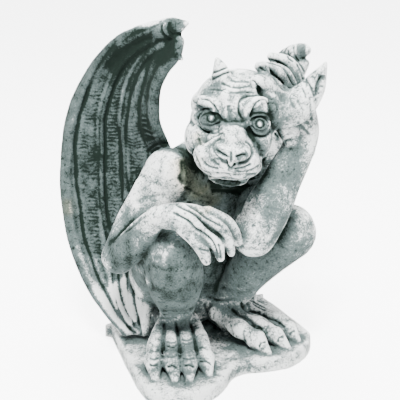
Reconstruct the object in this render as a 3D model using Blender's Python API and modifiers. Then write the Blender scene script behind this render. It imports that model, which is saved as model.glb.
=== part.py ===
"""A crouching stone gargoyle: figure, wings and base are one carved block.

The figure squats on a low slab and holds its head in its left hand, while the
right hand hangs over the right knee. Two ribbed wings stand behind it.
"""
import math

import bmesh
import bpy
from mathutils import Euler, Matrix, Vector

# Driving dimensions in metres.
FIGURE_HEIGHT = 0.478       # top of the base slab to the tip of the right wing
BASE_WIDTH = 0.288
BASE_DEPTH = 0.252
BASE_THICKNESS = 0.022
BASE_EDGE = 0.004           # rounding along the slab's upper edge
WING_WALL = 0.011
WING_RIM = 0.0088           # radius of the rolled edge of a wing
WING_RIB = 0.0056
CUT_DEPTH = 0.012           # stone below the underside that the flat cut takes off

# Fineness of the carved surface.
FUSE_CELL = 0.0034
SMOOTHING_PASSES = 3
FACE_BUDGET = 9200

# The carving is laid out in units of which the figure is 478 tall. A place is
# (x, y, z): x to the gargoyle's left, y backwards, z up from 22 under the slab's top.
UNIT = FIGURE_HEIGHT / 478.0
SLAB_TOP = 22.0

STONE_COLOUR = (0.42, 0.46, 0.43, 1.0)
STONE_ROUGHNESS = 0.92


def at(x, y, z):
    """World place of a point of the carving."""
    return Vector((x * UNIT, y * UNIT, BASE_THICKNESS + (z - SLAB_TOP) * UNIT))


# Each limb is a list of stations: x, y, z and the radius there.

FOOT_RIGHT = [(-36, 84, 40, 20), (-44, 50, 44, 24), (-52, 20, 46, 26), (-58, -4, 38, 18)]
FOOT_LEFT = [(33, 84, 40, 20), (38, 48, 44, 24), (44, 20, 46, 26), (50, -2, 38, 18)]

TOES_RIGHT = [
    [(-66, 22, 58, 9.5), (-87, -2, 51, 9.7), (-100, -24, 46, 12), (-106, -33, 41, 11), (-112, -46, 36, 12)],
    [(-58, 22, 60, 9.5), (-69, -6, 52, 9.7), (-78, -28, 48, 12.2), (-83, -42, 43, 11.2), (-91, -62, 38, 12.0)],
    [(-47, 16, 60, 9.5), (-49, -8, 52, 9.7), (-56, -32, 48, 12.2), (-61, -49, 43, 11.2), (-70, -72, 38, 12.0)],
    [(-26, 14, 58, 9.5), (-29, -13, 50, 9.7), (-37, -39, 46, 12.2), (-40, -54, 41, 11.2), (-45, -70, 36, 12.0)],
]
CLAWS_RIGHT = [(-121, -73, 24), (-99, -91, 24), (-81, -98, 24), (-50, -94, 24)]

TOES_LEFT = [
    [(13, 14, 58, 11.5), (23, -7, 52, 11.2), (30, -29, 48, 13.7), (39, -37, 42, 11.7), (46, -50, 37, 12.7)],
    [(38, 20, 58, 10.5), (49, -4, 52, 9.7), (61, -26, 48, 12.7), (70, -37, 43, 11.2), (77, -50, 37, 11.7)],
    [(63, 26, 56, 10.5), (82, 2, 49, 9.2), (94, -17, 46, 11.7), (101, -26, 41, 10.7), (105, -37, 36, 11.2)],
    [(80, 30, 50, 10.5), (98, 14, 42, 9.2), (108, 5, 38, 10.7), (113, -1, 34, 9.7)],
]
CLAWS_LEFT = [(54, -71, 24), (87, -67, 24), (111, -54, 24), (120, -12, 24)]
CLAW_ROOT = 0.95            # claw's radius at the toe, as a share of the toe's
CLAW_POINT = 4.6

SHIN_RIGHT = [(-80, -50, 192, 36), (-72, -30, 146, 40), (-60, -8, 104, 30),
              (-53, 8, 78, 24), (-50, 16, 52, 25)]
SHIN_LEFT = [(94, -54, 194, 37), (51, -32, 150, 34), (43, 0, 104, 27),
             (38, 18, 78, 24), (38, 26, 52, 25)]
THIGH_RIGHT = [(-80, -48, 190, 37), (-70, 12, 158, 44), (-46, 72, 108, 50)]
THIGH_LEFT = [(93, -52, 198, 37), (78, 12, 165, 38), (46, 72, 108, 50)]

TRUNK = [(0, 84, 76, 58), (0, 70, 130, 60), (1, 40, 200, 60),
         (3, 16, 258, 54), (4, -10, 306, 46), (6, -32, 340, 47)]
SHOULDER_LINE = [(-64, 10, 282, 31), (-34, 20, 280, 37), (4, 22, 287, 42),
                 (40, 18, 284, 40), (76, 6, 282, 33)]

ARM_RIGHT = [(-64, 6, 287, 34), (-88, 10, 252, 29), (-118, 12, 208, 26), (-139, 6, 176, 24)]
FOREARM_RIGHT = [(-140, 8, 175, 23), (-132, -12, 192, 22), (-120, -40, 226, 19), (-111, -64, 253, 14)]
PALM_RIGHT = [(-112, -62, 252, 14), (-96, -86, 258, 18), (-76, -102, 256, 20)]
FINGERS_RIGHT = [
    [(-92, -100, 246, 9), (-80, -115, 232, 9), (-71, -121, 216, 8.5), (-66, -119, 203, 6.5)],
    [(-80, -107, 252, 9), (-64, -120, 239, 9), (-53, -123, 224, 8.5), (-46, -119, 204, 6)],
    [(-68, -107, 258, 9), (-47, -119, 245, 9), (-36, -120, 227, 8), (-29, -116, 207, 6)],
    [(-56, -100, 262, 9), (-32, -108, 248, 8.5), (-19, -106, 230, 8), (-11, -100, 213, 6)],
]

ARM_LEFT = [(79, 7, 286, 34), (60, -28, 258, 33), (40, -62, 236, 32), (22, -80, 220, 30)]
FOREARM_LEFT = [(20, -86, 214, 30), (40, -86, 248, 31), (66, -81, 286, 26), (92, -77, 326, 22)]
PALM_LEFT = [(92, -77, 324, 22), (94, -73, 348, 26), (88, -69, 378, 26), (84, -68, 392, 20)]
FINGERS_LEFT = [
    [(100, -62, 398, 10), (92, -62, 422, 10.5), (76, -62, 439, 10), (54, -64, 449, 7)],
    [(84, -69, 396, 11), (68, -74, 424, 10.5), (46, -80, 436, 10), (25, -84, 443, 7)],
    [(68, -80, 384, 14), (52, -85, 402, 15), (33, -93, 420, 13), (14, -99, 428, 9.5)],
]
THUMB_HEEL = [(58, -84, 404, 12), (60, -86, 388, 14), (62, -86, 372, 15), (68, -85, 356, 15),
              (76, -84, 342, 13), (86, -82, 332, 12)]
FINGER_PAD = [(24, -86, 408, 11), (48, -86, 396, 13)]
LEFT_SHOULDER_TOP = [(58, 18, 298, 30), (98, 24, 297, 23)]

# Rounded forms that widen the trunk: centre and radii.
TRUNK_FORMS = {
    "rib cage": ((2, 28, 236), (76, 50, 82)),
    "seat": ((0, 82, 84), (80, 54, 64)),
}

# The head has a frame of its own: x to its left, -y out of the face, z up.
HEAD_CENTRE = (6, -60, 358)
HEAD_TURN = (math.radians(5.0), math.radians(5.4), math.radians(-30.0))

# Centre and radii of each rounded form of the head.
HEAD_FORMS = {
    "skull": ((1, 6, 29), (60, 60, 47)),
    "right temple": ((-41, -12, 11), (21, 32, 31)),
    "right cheek": ((-42, -18, -10), (25, 34, 29)),
    "left cheek": ((29, -24, -2), (19, 32, 28)),
    "jaw": ((-2, -28, -38), (36, 38, 24)),
    "muzzle": ((-7, -54, -20), (44, 42, 27)),
    "muzzle top": ((-5, -52, -3), (32, 36, 22)),
    "upper lip": ((-5, -48, -31), (43, 37, 18)),
    "nose bridge": ((-4, -59, 14), (18, 28, 14)),
    "nose root": ((-6, -46, 27), (20, 14, 12)),
    "nose": ((-4, -81, -2), (26, 19, 13)),
    "nose point": ((-3, -88, -10), (8, 9, 11)),
    "brow": ((-3, -34, 44), (51, 17, 12)),
    "right eye": ((-34, -43, 23), (15, 12, 12)),
    "left eye": ((29, -44, 25), (14, 12, 13)),
    "left eye hood": ((28, -41, 42), (11, 10, 9)),
    "lower lip": ((-4, -45, -53), (27, 18, 9)),
}
BROW_RIGHT = [(-55, -27, 42, 6), (-46, -37, 46, 7), (-34, -43, 46, 7), (-25, -46, 38, 6), (-20, -48, 28, 4)]
BROW_LEFT = [(31, -38, 54, 6), (22, -45, 55, 7), (14, -49, 49, 6.5), (11, -51, 40, 5.5), (13, -52, 31, 4)]
FOLD_RIGHT = [(-18, -40, 57, 7), (-15, -46, 46, 6.5), (-13, -50, 36, 6), (-11, -52, 29, 5)]
FOLD_LEFT = [(-3, -42, 54, 6.5), (-3, -48, 44, 6), (-4, -51, 35, 5)]
HORN_RIGHT = [(-24, -8, 56, 15), (-26, -9, 68, 14), (-29, -10, 80, 10.5), (-34, -10, 93, 3.5)]
HORN_LEFT = [(24, -8, 58, 15), (25, -9, 68, 13), (28, -10, 79, 8), (31, -10, 90, 2)]
EAR_LEFT = [(48, 0, 26, 20), (72, 2, 38, 24), (89, 4, 58, 18), (97, 4, 79, 12), (104, 4, 100, 2.5)]
EAR_RIGHT = [(-46, 24, 12, 16), (-52, 42, 14, 15), (-50, 64, 18, 10), (-46, 84, 22, 2.5)]

# A wing is a leaf between its rolled rim and the inner edge next to the back.
# The stations run from the tip, over the top and down to the heel.
WING_RIM_LINE = [
    (-55, -11, 490), (-81, 34, 480), (-110, 80, 452), (-132, 122, 404), (-151, 147, 346),
    (-159, 156, 286), (-163, 154, 223), (-158, 139, 150), (-141, 107, 86), (-111, 61, 34),
]
WING_INNER_LINE = [
    (-56, -12, 470), (-58, -4, 450), (-66, 18, 424), (-72, 33, 392), (-66, 46, 345),
    (-44, 54, 292), (-40, 62, 218), (-56, 64, 146), (-74, 56, 88), (-88, 48, 34),
]
WING_HOLLOW = 24.0          # how far the leaf bellies backwards
WING_BELLY = Vector((0.5, 0.86, 0.0))
WING_RIB_SHARES = (0.33, 0.58)
WING_CLAW = [(-70, 22, 480, 12), (-61, 4, 486, 13), (-56, -6, 489, 11), (-52, -12, 491, 8), (-48, -19, 494, 4)]
WING_SPUR = [(-58, -4, 452, 8), (-52, -14, 446, 2)]
LEFT_WING_LEAN = 0.155      # the left wing leans out with the figure's sway
LEFT_WING_REACH = 0.89
LEFT_WING_SWING = math.radians(18.0)
LEFT_WING_ROOT = Vector((40.0, 55.0, 0.0))


def smooth_line(stations, steps):
    """Points along a Catmull-Rom curve through stations of any length."""
    ends = [stations[0]] + list(stations) + [stations[-1]]
    line = []
    for before, start, end, after in zip(ends, ends[1:], ends[2:], ends[3:]):
        for step in range(steps):
            t = step / steps
            line.append(tuple(
                0.5 * (2 * b + (c - a) * t + (2 * a - 5 * b + 4 * c - d) * t ** 2
                       + (3 * b - a - 3 * c + d) * t ** 3)
                for a, b, c, d in zip(before, start, end, after)))
    line.append(tuple(stations[-1]))
    return line


def rounded_ends(line):
    """The line with a half ball of further points at each end."""
    def dome(end, inner):
        outward = (Vector(end[:3]) - Vector(inner[:3])).normalized()
        for angle in (30, 55, 75, 87):
            along = end[3] * math.sin(math.radians(angle))
            place = Vector(end[:3]) + outward * along
            yield (*place, end[3] * math.cos(math.radians(angle)))
    first = list(dome(line[0], line[1]))
    last = list(dome(line[-1], line[-2]))
    return first[::-1] + line + last


def add_object_mesh(carving, thing, shape=Matrix.Identity(4)):
    """Moves an object's evaluated mesh into the carving and removes the object."""
    evaluated = thing.evaluated_get(bpy.context.evaluated_depsgraph_get())
    mesh = bpy.data.meshes.new_from_object(evaluated)
    piece = bmesh.new()
    piece.from_mesh(mesh)
    bmesh.ops.remove_doubles(piece, verts=piece.verts, dist=0.00001)
    bmesh.ops.recalc_face_normals(piece, faces=piece.faces)
    bmesh.ops.transform(piece, matrix=shape @ thing.matrix_world, verts=piece.verts)
    piece.to_mesh(mesh)
    piece.free()
    carving.from_mesh(mesh)
    data = thing.data
    bpy.data.objects.remove(thing)
    bpy.data.meshes.remove(mesh)
    if isinstance(data, bpy.types.Curve):
        bpy.data.curves.remove(data)
    else:
        bpy.data.meshes.remove(data)


def add_limb(carving, stations, place=at, steps=6, closed_ends=True):
    """A round limb through the stations, as a tube of changing radius."""
    line = smooth_line(stations, steps)
    if closed_ends:
        line = rounded_ends(line)
    curve = bpy.data.curves.new("limb", "CURVE")
    curve.dimensions = "3D"
    curve.bevel_depth = UNIT
    curve.bevel_resolution = 6
    curve.use_fill_caps = True
    curve.twist_mode = "MINIMUM"
    spline = curve.splines.new("POLY")
    spline.points.add(len(line) - 1)
    for point, (x, y, z, radius) in zip(spline.points, line):
        point.co = (*place(x, y, z), 1.0)
        point.radius = max(radius, 0.05)
    limb = bpy.data.objects.new("limb", curve)
    bpy.context.scene.collection.objects.link(limb)
    bpy.context.view_layer.update()
    add_object_mesh(carving, limb)


def add_form(carving, centre, radii, turn=Matrix.Identity(4)):
    """A rounded form: a ball stretched to three radii."""
    matrix = turn @ Matrix.Translation(Vector(centre)) @ Matrix.Diagonal((*radii, 1.0))
    bmesh.ops.create_icosphere(carving, subdivisions=4, radius=1.0, matrix=matrix)


def head_matrix():
    """From the head's own frame to the world."""
    turn = Euler(HEAD_TURN, "YXZ").to_matrix().to_4x4()
    return Matrix.Translation(at(*HEAD_CENTRE)) @ turn @ Matrix.Scale(UNIT, 4)


def add_head(carving):
    """Skull, muzzle, brows, eyes, horns and ears."""
    turn = head_matrix()
    for centre, radii in HEAD_FORMS.values():
        add_form(carving, centre, radii, turn)
    for stations in (BROW_RIGHT, BROW_LEFT, FOLD_RIGHT, FOLD_LEFT, HORN_RIGHT, HORN_LEFT,
                     EAR_LEFT, EAR_RIGHT):
        add_limb(carving, stations, lambda x, y, z: turn @ Vector((x, y, z)))


def right_wing(x, y, z):
    """World place of a point of the right wing."""
    return at(x, y, z)


def left_wing(x, y, z):
    """The same point mirrored, swung back about its root and leaned outwards."""
    height = (z - SLAB_TOP) * LEFT_WING_REACH
    arm = Vector((-x, y, 0.0)) - LEFT_WING_ROOT
    arm.rotate(Euler((0.0, 0.0, LEFT_WING_SWING)))
    swung = LEFT_WING_ROOT + arm
    return at(swung.x + LEFT_WING_LEAN * height, swung.y, SLAB_TOP + height)


def add_wing(carving, place):
    """A hollow leaf with a rolled rim, two ribs, and a claw at its tip."""
    rim = smooth_line(WING_RIM_LINE, 5)
    inner = smooth_line(WING_INNER_LINE, 5)
    across = [step / 10 for step in range(11)]

    def leaf(outer_point, inner_point, share):
        """Straight from rim to inner edge, pushed back in a half sine."""
        middle = Vector(outer_point).lerp(Vector(inner_point), share)
        width = (Vector(outer_point) - Vector(inner_point)).length
        depth = min(WING_HOLLOW, 0.2 * width) * math.sin(math.pi * share)
        return middle + WING_BELLY * depth

    grid = [[leaf(a, b, share) for share in across] for a, b in zip(rim, inner)]
    mesh = bpy.data.meshes.new("leaf")
    points = [place(*point) for row in grid for point in row]
    columns = len(across)
    faces = [(r * columns + c, r * columns + c + 1, (r + 1) * columns + c + 1, (r + 1) * columns + c)
             for r in range(len(grid) - 1) for c in range(columns - 1)]
    mesh.from_pydata(points, [], faces)
    leaf_object = bpy.data.objects.new("leaf", mesh)
    bpy.context.scene.collection.objects.link(leaf_object)
    wall = leaf_object.modifiers.new("wall", "SOLIDIFY")
    wall.thickness = WING_WALL
    wall.offset = 0.0
    bpy.context.view_layer.update()
    add_object_mesh(carving, leaf_object)

    rim_radius = WING_RIM / UNIT
    rib_radius = WING_RIB / UNIT
    add_limb(carving, [(*point, rim_radius) for point in WING_RIM_LINE], place)
    add_limb(carving, [(*point, rim_radius * 0.9) for point in WING_INNER_LINE], place)
    for share in WING_RIB_SHARES:
        rib = [(*(leaf(a, b, share) - WING_BELLY * rib_radius), rib_radius)
               for a, b in zip(rim[5:], inner[5:])]
        add_limb(carving, rib[::5], place)
    add_limb(carving, WING_CLAW, place)
    add_limb(carving, WING_SPUR, place)


def add_base(carving):
    """The slab: two lobes in front under the feet, straight sides and back."""
    outline = [
        (-0.70, 1.0), (-0.79, 0.88), (-0.87, 0.34), (-0.96, -0.35), (-0.96, -0.74), (-0.80, -0.92),
        (-0.49, -1.0), (-0.26, -0.88), (-0.06, -0.66), (0.12, -0.60), (0.30, -0.65), (0.55, -0.68),
        (0.80, -0.55), (0.98, -0.33), (1.02, -0.08), (1.0, 0.86), (0.91, 1.0),
    ]
    curve = bpy.data.curves.new("slab", "CURVE")
    curve.dimensions = "2D"
    curve.fill_mode = "BOTH"
    curve.extrude = (BASE_THICKNESS + CUT_DEPTH) / 2 - BASE_EDGE
    curve.bevel_depth = BASE_EDGE
    curve.bevel_resolution = 3
    curve.offset = -BASE_EDGE
    spline = curve.splines.new("BEZIER")
    spline.bezier_points.add(len(outline) - 1)
    spline.use_cyclic_u = True
    for point, (x, y) in zip(spline.bezier_points, outline):
        point.co = (x * BASE_WIDTH / 2, y * BASE_DEPTH / 2, 0.0)
        point.handle_left_type = "AUTO"
        point.handle_right_type = "AUTO"
    slab = bpy.data.objects.new("slab", curve)
    slab.location.z = (BASE_THICKNESS - CUT_DEPTH) / 2
    bpy.context.scene.collection.objects.link(slab)
    bpy.context.view_layer.update()
    add_object_mesh(carving, slab)


def add_figure(carving):
    """Legs, trunk and arms."""
    limbs = [
        FOOT_RIGHT, FOOT_LEFT, SHIN_RIGHT, SHIN_LEFT, THIGH_RIGHT, THIGH_LEFT,
        TRUNK, SHOULDER_LINE, ARM_RIGHT, FOREARM_RIGHT, PALM_RIGHT,
        ARM_LEFT, FOREARM_LEFT, PALM_LEFT, THUMB_HEEL,
        LEFT_SHOULDER_TOP, FINGER_PAD,
    ]
    limbs += FINGERS_RIGHT + FINGERS_LEFT
    for stations in limbs:
        add_limb(carving, stations)
    to_world = Matrix.Translation(at(0, 0, 0)) @ Matrix.Scale(UNIT, 4)
    for centre, radii in TRUNK_FORMS.values():
        add_form(carving, centre, radii, to_world)
    for toes, claws in ((TOES_RIGHT, CLAWS_RIGHT), (TOES_LEFT, CLAWS_LEFT)):
        for toe, claw in zip(toes, claws):
            add_limb(carving, toe)
            root = (*toe[-1][:3], toe[-1][3] * CLAW_ROOT)
            add_limb(carving, [root, (*claw, CLAW_POINT)])


def stone():
    """Weathered grey-green stone."""
    material = bpy.data.materials.new("cast_stone")
    material.use_nodes = True
    shader = material.node_tree.nodes["Principled BSDF"]
    shader.inputs["Base Color"].default_value = STONE_COLOUR
    shader.inputs["Roughness"].default_value = STONE_ROUGHNESS
    shader.inputs["Metallic"].default_value = 0.0
    return material


def ground_cutter(collection):
    """A box under the slab that leaves its underside flat."""
    bpy.ops.mesh.primitive_cube_add(size=1.0)
    cutter = bpy.context.object
    cutter.name = "ground_cutter"
    cutter.dimensions = (BASE_WIDTH * 2, BASE_DEPTH * 2, CUT_DEPTH * 4)
    cutter.location.z = -CUT_DEPTH * 2
    cutter.hide_render = True
    cutter.display_type = "WIRE"
    for owner in list(cutter.users_collection):
        owner.objects.unlink(cutter)
    collection.objects.link(cutter)
    return cutter


for old in list(bpy.data.objects):
    bpy.data.objects.remove(old)

parts = bpy.data.collections.new("stone_gargoyle")
cutters = bpy.data.collections.new("cutters")
bpy.context.scene.collection.children.link(parts)
bpy.context.scene.collection.children.link(cutters)

block = bmesh.new()
add_base(block)
add_figure(block)
add_head(block)
add_wing(block, right_wing)
add_wing(block, left_wing)
carved = bpy.data.meshes.new("gargoyle")
block.to_mesh(carved)
block.free()
carved.materials.append(stone())

gargoyle = bpy.data.objects.new("gargoyle", carved)
parts.objects.link(gargoyle)

fuse = gargoyle.modifiers.new("fuse", "REMESH")
fuse.mode = "VOXEL"
fuse.voxel_size = FUSE_CELL
soften = gargoyle.modifiers.new("soften", "SMOOTH")
soften.iterations = SMOOTHING_PASSES
soften.factor = 0.5
bpy.context.view_layer.update()
fine = gargoyle.evaluated_get(bpy.context.evaluated_depsgraph_get())
fine_faces = 2 * len(fine.data.polygons)
thin_out = gargoyle.modifiers.new("thin out", "DECIMATE")
thin_out.ratio = FACE_BUDGET / fine_faces
flatten = gargoyle.modifiers.new("flatten", "BOOLEAN")
flatten.operation = "DIFFERENCE"
flatten.object = ground_cutter(cutters)
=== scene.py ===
import math

import bpy
import numpy as np
from mathutils import Euler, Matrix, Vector


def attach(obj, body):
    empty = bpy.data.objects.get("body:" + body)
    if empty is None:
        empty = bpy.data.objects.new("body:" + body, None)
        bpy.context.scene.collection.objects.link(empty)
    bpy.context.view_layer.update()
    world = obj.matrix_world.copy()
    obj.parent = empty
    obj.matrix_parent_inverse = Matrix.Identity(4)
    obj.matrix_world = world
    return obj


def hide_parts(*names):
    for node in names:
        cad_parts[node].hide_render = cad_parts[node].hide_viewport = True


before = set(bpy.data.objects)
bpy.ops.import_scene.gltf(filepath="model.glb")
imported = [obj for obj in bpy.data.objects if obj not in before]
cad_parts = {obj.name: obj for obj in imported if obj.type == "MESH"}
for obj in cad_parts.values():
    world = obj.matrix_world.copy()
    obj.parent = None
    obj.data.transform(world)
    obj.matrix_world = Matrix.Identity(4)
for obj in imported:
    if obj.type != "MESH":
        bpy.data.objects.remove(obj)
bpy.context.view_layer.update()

# View. The camera stands to the gargoyle's right and a little above it, over a pale floor,
# with a broad soft light from the upper left and a weaker one from the right. To the camera
# alone the floor and the room glow, so that they are as white as the photo's plain ground.
EYE = Vector((-0.65093, -1.35346, 0.760))
AIM = Vector((-0.017, 0.006, 0.240))
LENS = 102.6
SENSOR = 36.0
FRAME = 400.0               # side of the square image in pixels

camera = bpy.data.objects.new("camera", bpy.data.cameras.new("camera"))
camera.data.lens = LENS
camera.data.sensor_width = SENSOR
camera.data.clip_start = 0.05
camera.location = EYE
camera.rotation_euler = (AIM - EYE).to_track_quat("-Z", "Y").to_euler()
bpy.context.scene.collection.objects.link(camera)
bpy.context.scene.camera = camera

LIGHTS = {
    # name: place, side of the square lamp, watts
    "key_light": ((-0.7, -1.15, 2.2), 0.5, 190.0),
    "fill_light": ((1.5, -1.1, 0.9), 1.2, 16.0),
    "top_light": ((0.1, 0.5, 2.0), 1.2, 90.0),
}
for name, (place, side, watts) in LIGHTS.items():
    lamp = bpy.data.objects.new(name, bpy.data.lights.new(name, "AREA"))
    lamp.data.size = side
    lamp.data.energy = watts
    lamp.location = place
    lamp.rotation_euler = (AIM - Vector(place)).to_track_quat("-Z", "Y").to_euler()
    bpy.context.scene.collection.objects.link(lamp)

GLOW = 5.0                  # added for the camera alone


def glow_to_camera(tree, strength, base):
    """The strength is the base, plus the glow for rays that come straight from the camera."""
    ray = tree.nodes.new("ShaderNodeLightPath")
    total = tree.nodes.new("ShaderNodeMath")
    total.operation = "MULTIPLY_ADD"
    total.inputs[1].default_value = GLOW
    total.inputs[2].default_value = base
    tree.links.new(ray.outputs["Is Camera Ray"], total.inputs[0])
    tree.links.new(total.outputs["Value"], strength)


world = bpy.data.worlds.new("pale_room")
world.use_nodes = True
world.node_tree.nodes["Background"].inputs["Color"].default_value = (0.93, 0.95, 0.97, 1.0)
glow_to_camera(world.node_tree, world.node_tree.nodes["Background"].inputs["Strength"], 1.0)
bpy.context.scene.world = world

FLOOR_REACH = 6.0
floor_mesh = bpy.data.meshes.new("floor")
floor_mesh.from_pydata(
    [(-FLOOR_REACH, -FLOOR_REACH, -0.0006), (FLOOR_REACH, -FLOOR_REACH, -0.0006),
     (FLOOR_REACH, FLOOR_REACH, -0.0006), (-FLOOR_REACH, FLOOR_REACH, -0.0006)],
    [], [(0, 1, 2, 3)])
floor = bpy.data.objects.new("floor", floor_mesh)
floor_paint = bpy.data.materials.new("pale_floor")
floor_paint.use_nodes = True
floor_shader = floor_paint.node_tree.nodes["Principled BSDF"]
floor_shader.inputs["Base Color"].default_value = (0.86, 0.86, 0.86, 1.0)
floor_shader.inputs["Emission Color"].default_value = (1.0, 1.0, 1.0, 1.0)
glow_to_camera(floor_paint.node_tree, floor_shader.inputs["Emission Strength"], 0.0)
floor_shader.inputs["Roughness"].default_value = 0.9
floor_mesh.materials.append(floor_paint)
bpy.context.scene.collection.objects.link(floor)


# Slab. The low plinth that the gargoyle squats on, cast in one with it: two lobes in
# front follow the toes, and the sides and back are straight. All sizes of the block
# are in millimetres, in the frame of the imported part, and become metres at the end.
METRE = 0.001
SLAB_WIDTH = 288.0
SLAB_DEPTH = 252.0
SLAB_THICK = 22.0
SLAB_EDGE = 4.0
SLAB_OUTLINE = [
    (-0.70, 1.0), (-0.79, 0.88), (-0.87, 0.34), (-0.96, -0.35), (-0.96, -0.74), (-0.80, -0.92),
    (-0.49, -1.0), (-0.26, -0.88), (-0.06, -0.66), (0.12, -0.60), (0.30, -0.65), (0.55, -0.68),
    (0.80, -0.55), (0.98, -0.33), (1.02, -0.08), (1.0, 0.86), (0.91, 1.0),
]

block_points = []           # arrays of places, one for each form that is fused later
block_faces = []            # their faces, as lists of point numbers


def add_rings(rings):
    """A closed skin over rings of points (row, around, xyz): four-sided faces between
    neighbouring rings, and one lid on the first and on the last ring."""
    start = sum(len(points) for points in block_points)
    rows, around = rings.shape[:2]
    index = start + np.arange(rows * around).reshape(rows, around)
    beside = np.roll(index, -1, axis=1)
    quads = np.stack([index[:-1], beside[:-1], beside[1:], index[1:]], axis=-1)
    block_points.append(rings.reshape(-1, 3))
    block_faces.extend(quads.reshape(-1, 4).tolist())
    block_faces.append(index[0][::-1].tolist())
    block_faces.append(index[-1].tolist())


def through(stations, steps, closed=False):
    """Catmull-Rom curve: between two stations runs the cubic that meets both, with the
    slope at each taken from its two neighbours. Every column is treated alike."""
    rows = np.array(stations, float)
    if closed:
        rows = np.vstack([rows[-1:], rows, rows[:2]])
    else:
        rows = np.vstack([rows[:1], rows, rows[-1:]])
    a, b, c, d = (rows[k:len(rows) - 3 + k, None] for k in range(4))
    t = (np.arange(steps) / steps)[None, :, None]
    line = 0.5 * (2 * b + (c - a) * t + (2 * a - 5 * b + 4 * c - d) * t ** 2
                  + (3 * b - a - 3 * c + d) * t ** 3)
    line = line.reshape(-1, rows.shape[1])
    return line if closed else np.vstack([line, rows[-2:-1]])


rim = through(SLAB_OUTLINE, 12, closed=True) * (SLAB_WIDTH / 2, SLAB_DEPTH / 2)
edge_turn = np.radians([0, 22, 45, 67, 90])
levels = np.concatenate([[0.0, 6.0, 12.0], SLAB_THICK - SLAB_EDGE * (1 - np.sin(edge_turn))])
insets = np.concatenate([[0.0, 0.0, 0.0], SLAB_EDGE * (1 - np.cos(edge_turn))])
shrink = 1 - insets[:, None, None] / (SLAB_WIDTH / 2)
slab = np.concatenate([rim[None] * shrink, np.broadcast_to(
    levels[:, None, None], (len(levels), len(rim), 1))], axis=2)
add_rings(slab)


# Legs. They are folded tight under the body: heels flat on the slab, shins
# leaning out to the knees, thighs going back to the seat. Carved from the same block.
def limb(stations, steps=8, sides=28, place=None):
    """A round tube along a curve of stations (x, y, z, radius): each ring is the centre plus
    radius times (cosine across + sine upward), square to the curve, with a half ball on both ends."""
    line = through(stations, steps)
    swell = np.radians([20, 40, 58, 74, 86])[:, None]
    domes = []
    for end, inner in ((line[0], line[1]), (line[-1], line[-2])):
        outward = (end[:3] - inner[:3]) / np.linalg.norm(end[:3] - inner[:3])
        places = end[:3] + outward * end[3] * np.sin(swell)
        domes.append(np.hstack([places, end[3] * np.cos(swell)]))
    line = np.vstack([domes[0][::-1], line, domes[1]])
    centre, radius = line[:, :3], line[:, 3]
    along = np.gradient(centre, axis=0)
    along /= np.linalg.norm(along, axis=1)[:, None]
    across = np.empty_like(along)
    lead = np.eye(3)[np.argmin(np.abs(along[0]))]
    for row, direction in enumerate(along):
        lead = lead - direction * (lead @ direction)
        lead /= np.linalg.norm(lead)
        across[row] = lead
    upward = np.cross(along, across)
    turn = np.linspace(0, 2 * math.pi, sides, endpoint=False)
    rings = centre[:, None] + radius[:, None, None] * (
        np.cos(turn)[None, :, None] * across[:, None] + np.sin(turn)[None, :, None] * upward[:, None])
    add_rings(rings if place is None else place(rings.reshape(-1, 3)).reshape(rings.shape))


FOOT_RIGHT = [(-36, 84, 40, 20), (-44, 50, 44, 24), (-52, 20, 46, 26), (-58, -4, 38, 18)]
FOOT_LEFT = [(33, 84, 40, 20), (38, 48, 44, 24), (44, 20, 46, 26), (50, -2, 38, 18)]
TOES_RIGHT = [
    [(-66, 22, 58, 9.5), (-87, -2, 51, 9.7), (-100, -24, 46, 12), (-106, -33, 41, 11), (-112, -46, 36, 12)],
    [(-58, 22, 60, 9.5), (-69, -6, 52, 9.7), (-78, -28, 48, 12.2), (-83, -42, 43, 11.2),
     (-91, -62, 38, 12.0)],
    [(-47, 16, 60, 9.5), (-49, -8, 52, 9.7), (-56, -32, 48, 12.2), (-61, -49, 43, 11.2),
     (-70, -72, 38, 12.0)],
    [(-26, 14, 58, 9.5), (-29, -13, 50, 9.7), (-37, -39, 46, 12.2), (-40, -54, 41, 11.2),
     (-45, -70, 36, 12.0)],
]
CLAWS_RIGHT = [(-121, -73, 24), (-99, -91, 24), (-81, -98, 24), (-50, -94, 24)]
TOES_LEFT = [
    [(13, 14, 58, 11.5), (23, -7, 52, 11.2), (30, -29, 48, 13.7), (39, -37, 42, 11.7), (46, -50, 37, 12.7)],
    [(38, 20, 58, 10.5), (49, -4, 52, 9.7), (61, -26, 48, 12.7), (70, -37, 43, 11.2), (77, -50, 37, 11.7)],
    [(63, 26, 56, 10.5), (82, 2, 49, 9.2), (94, -17, 46, 11.7), (101, -26, 41, 10.7), (105, -37, 36, 11.2)],
    [(80, 30, 50, 10.5), (98, 14, 42, 9.2), (108, 5, 38, 10.7), (113, -1, 34, 9.7)],
]
CLAWS_LEFT = [(54, -71, 24), (87, -67, 24), (111, -54, 24), (120, -12, 24)]
CLAW_ROOT = 1.2            # claw's radius where it leaves the cuff, as a share of the toe's
CLAW_POINT = 5.6
SHIN_RIGHT = [(-80, -50, 192, 36), (-72, -30, 146, 40), (-60, -8, 104, 30),
              (-53, 8, 78, 24), (-50, 16, 52, 25)]
SHIN_LEFT = [(94, -54, 194, 37), (51, -32, 150, 34), (43, 0, 104, 27),
             (38, 18, 78, 24), (38, 26, 52, 25)]
THIGH_RIGHT = [(-80, -48, 190, 37), (-70, 12, 158, 44), (-46, 72, 108, 50)]
THIGH_LEFT = [(93, -52, 198, 37), (78, 12, 165, 38), (46, 72, 108, 50)]

for stations in (FOOT_RIGHT, FOOT_LEFT, SHIN_RIGHT, SHIN_LEFT, THIGH_RIGHT, THIGH_LEFT):
    limb(stations, sides=40)
for toes, claws in ((TOES_RIGHT, CLAWS_RIGHT), (TOES_LEFT, CLAWS_LEFT)):
    for toe, claw in zip(toes, claws):
        limb(toe)
        limb([(*toe[-1][:3], toe[-1][3] * CLAW_ROOT), (*claw, CLAW_POINT)], steps=4)


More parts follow.
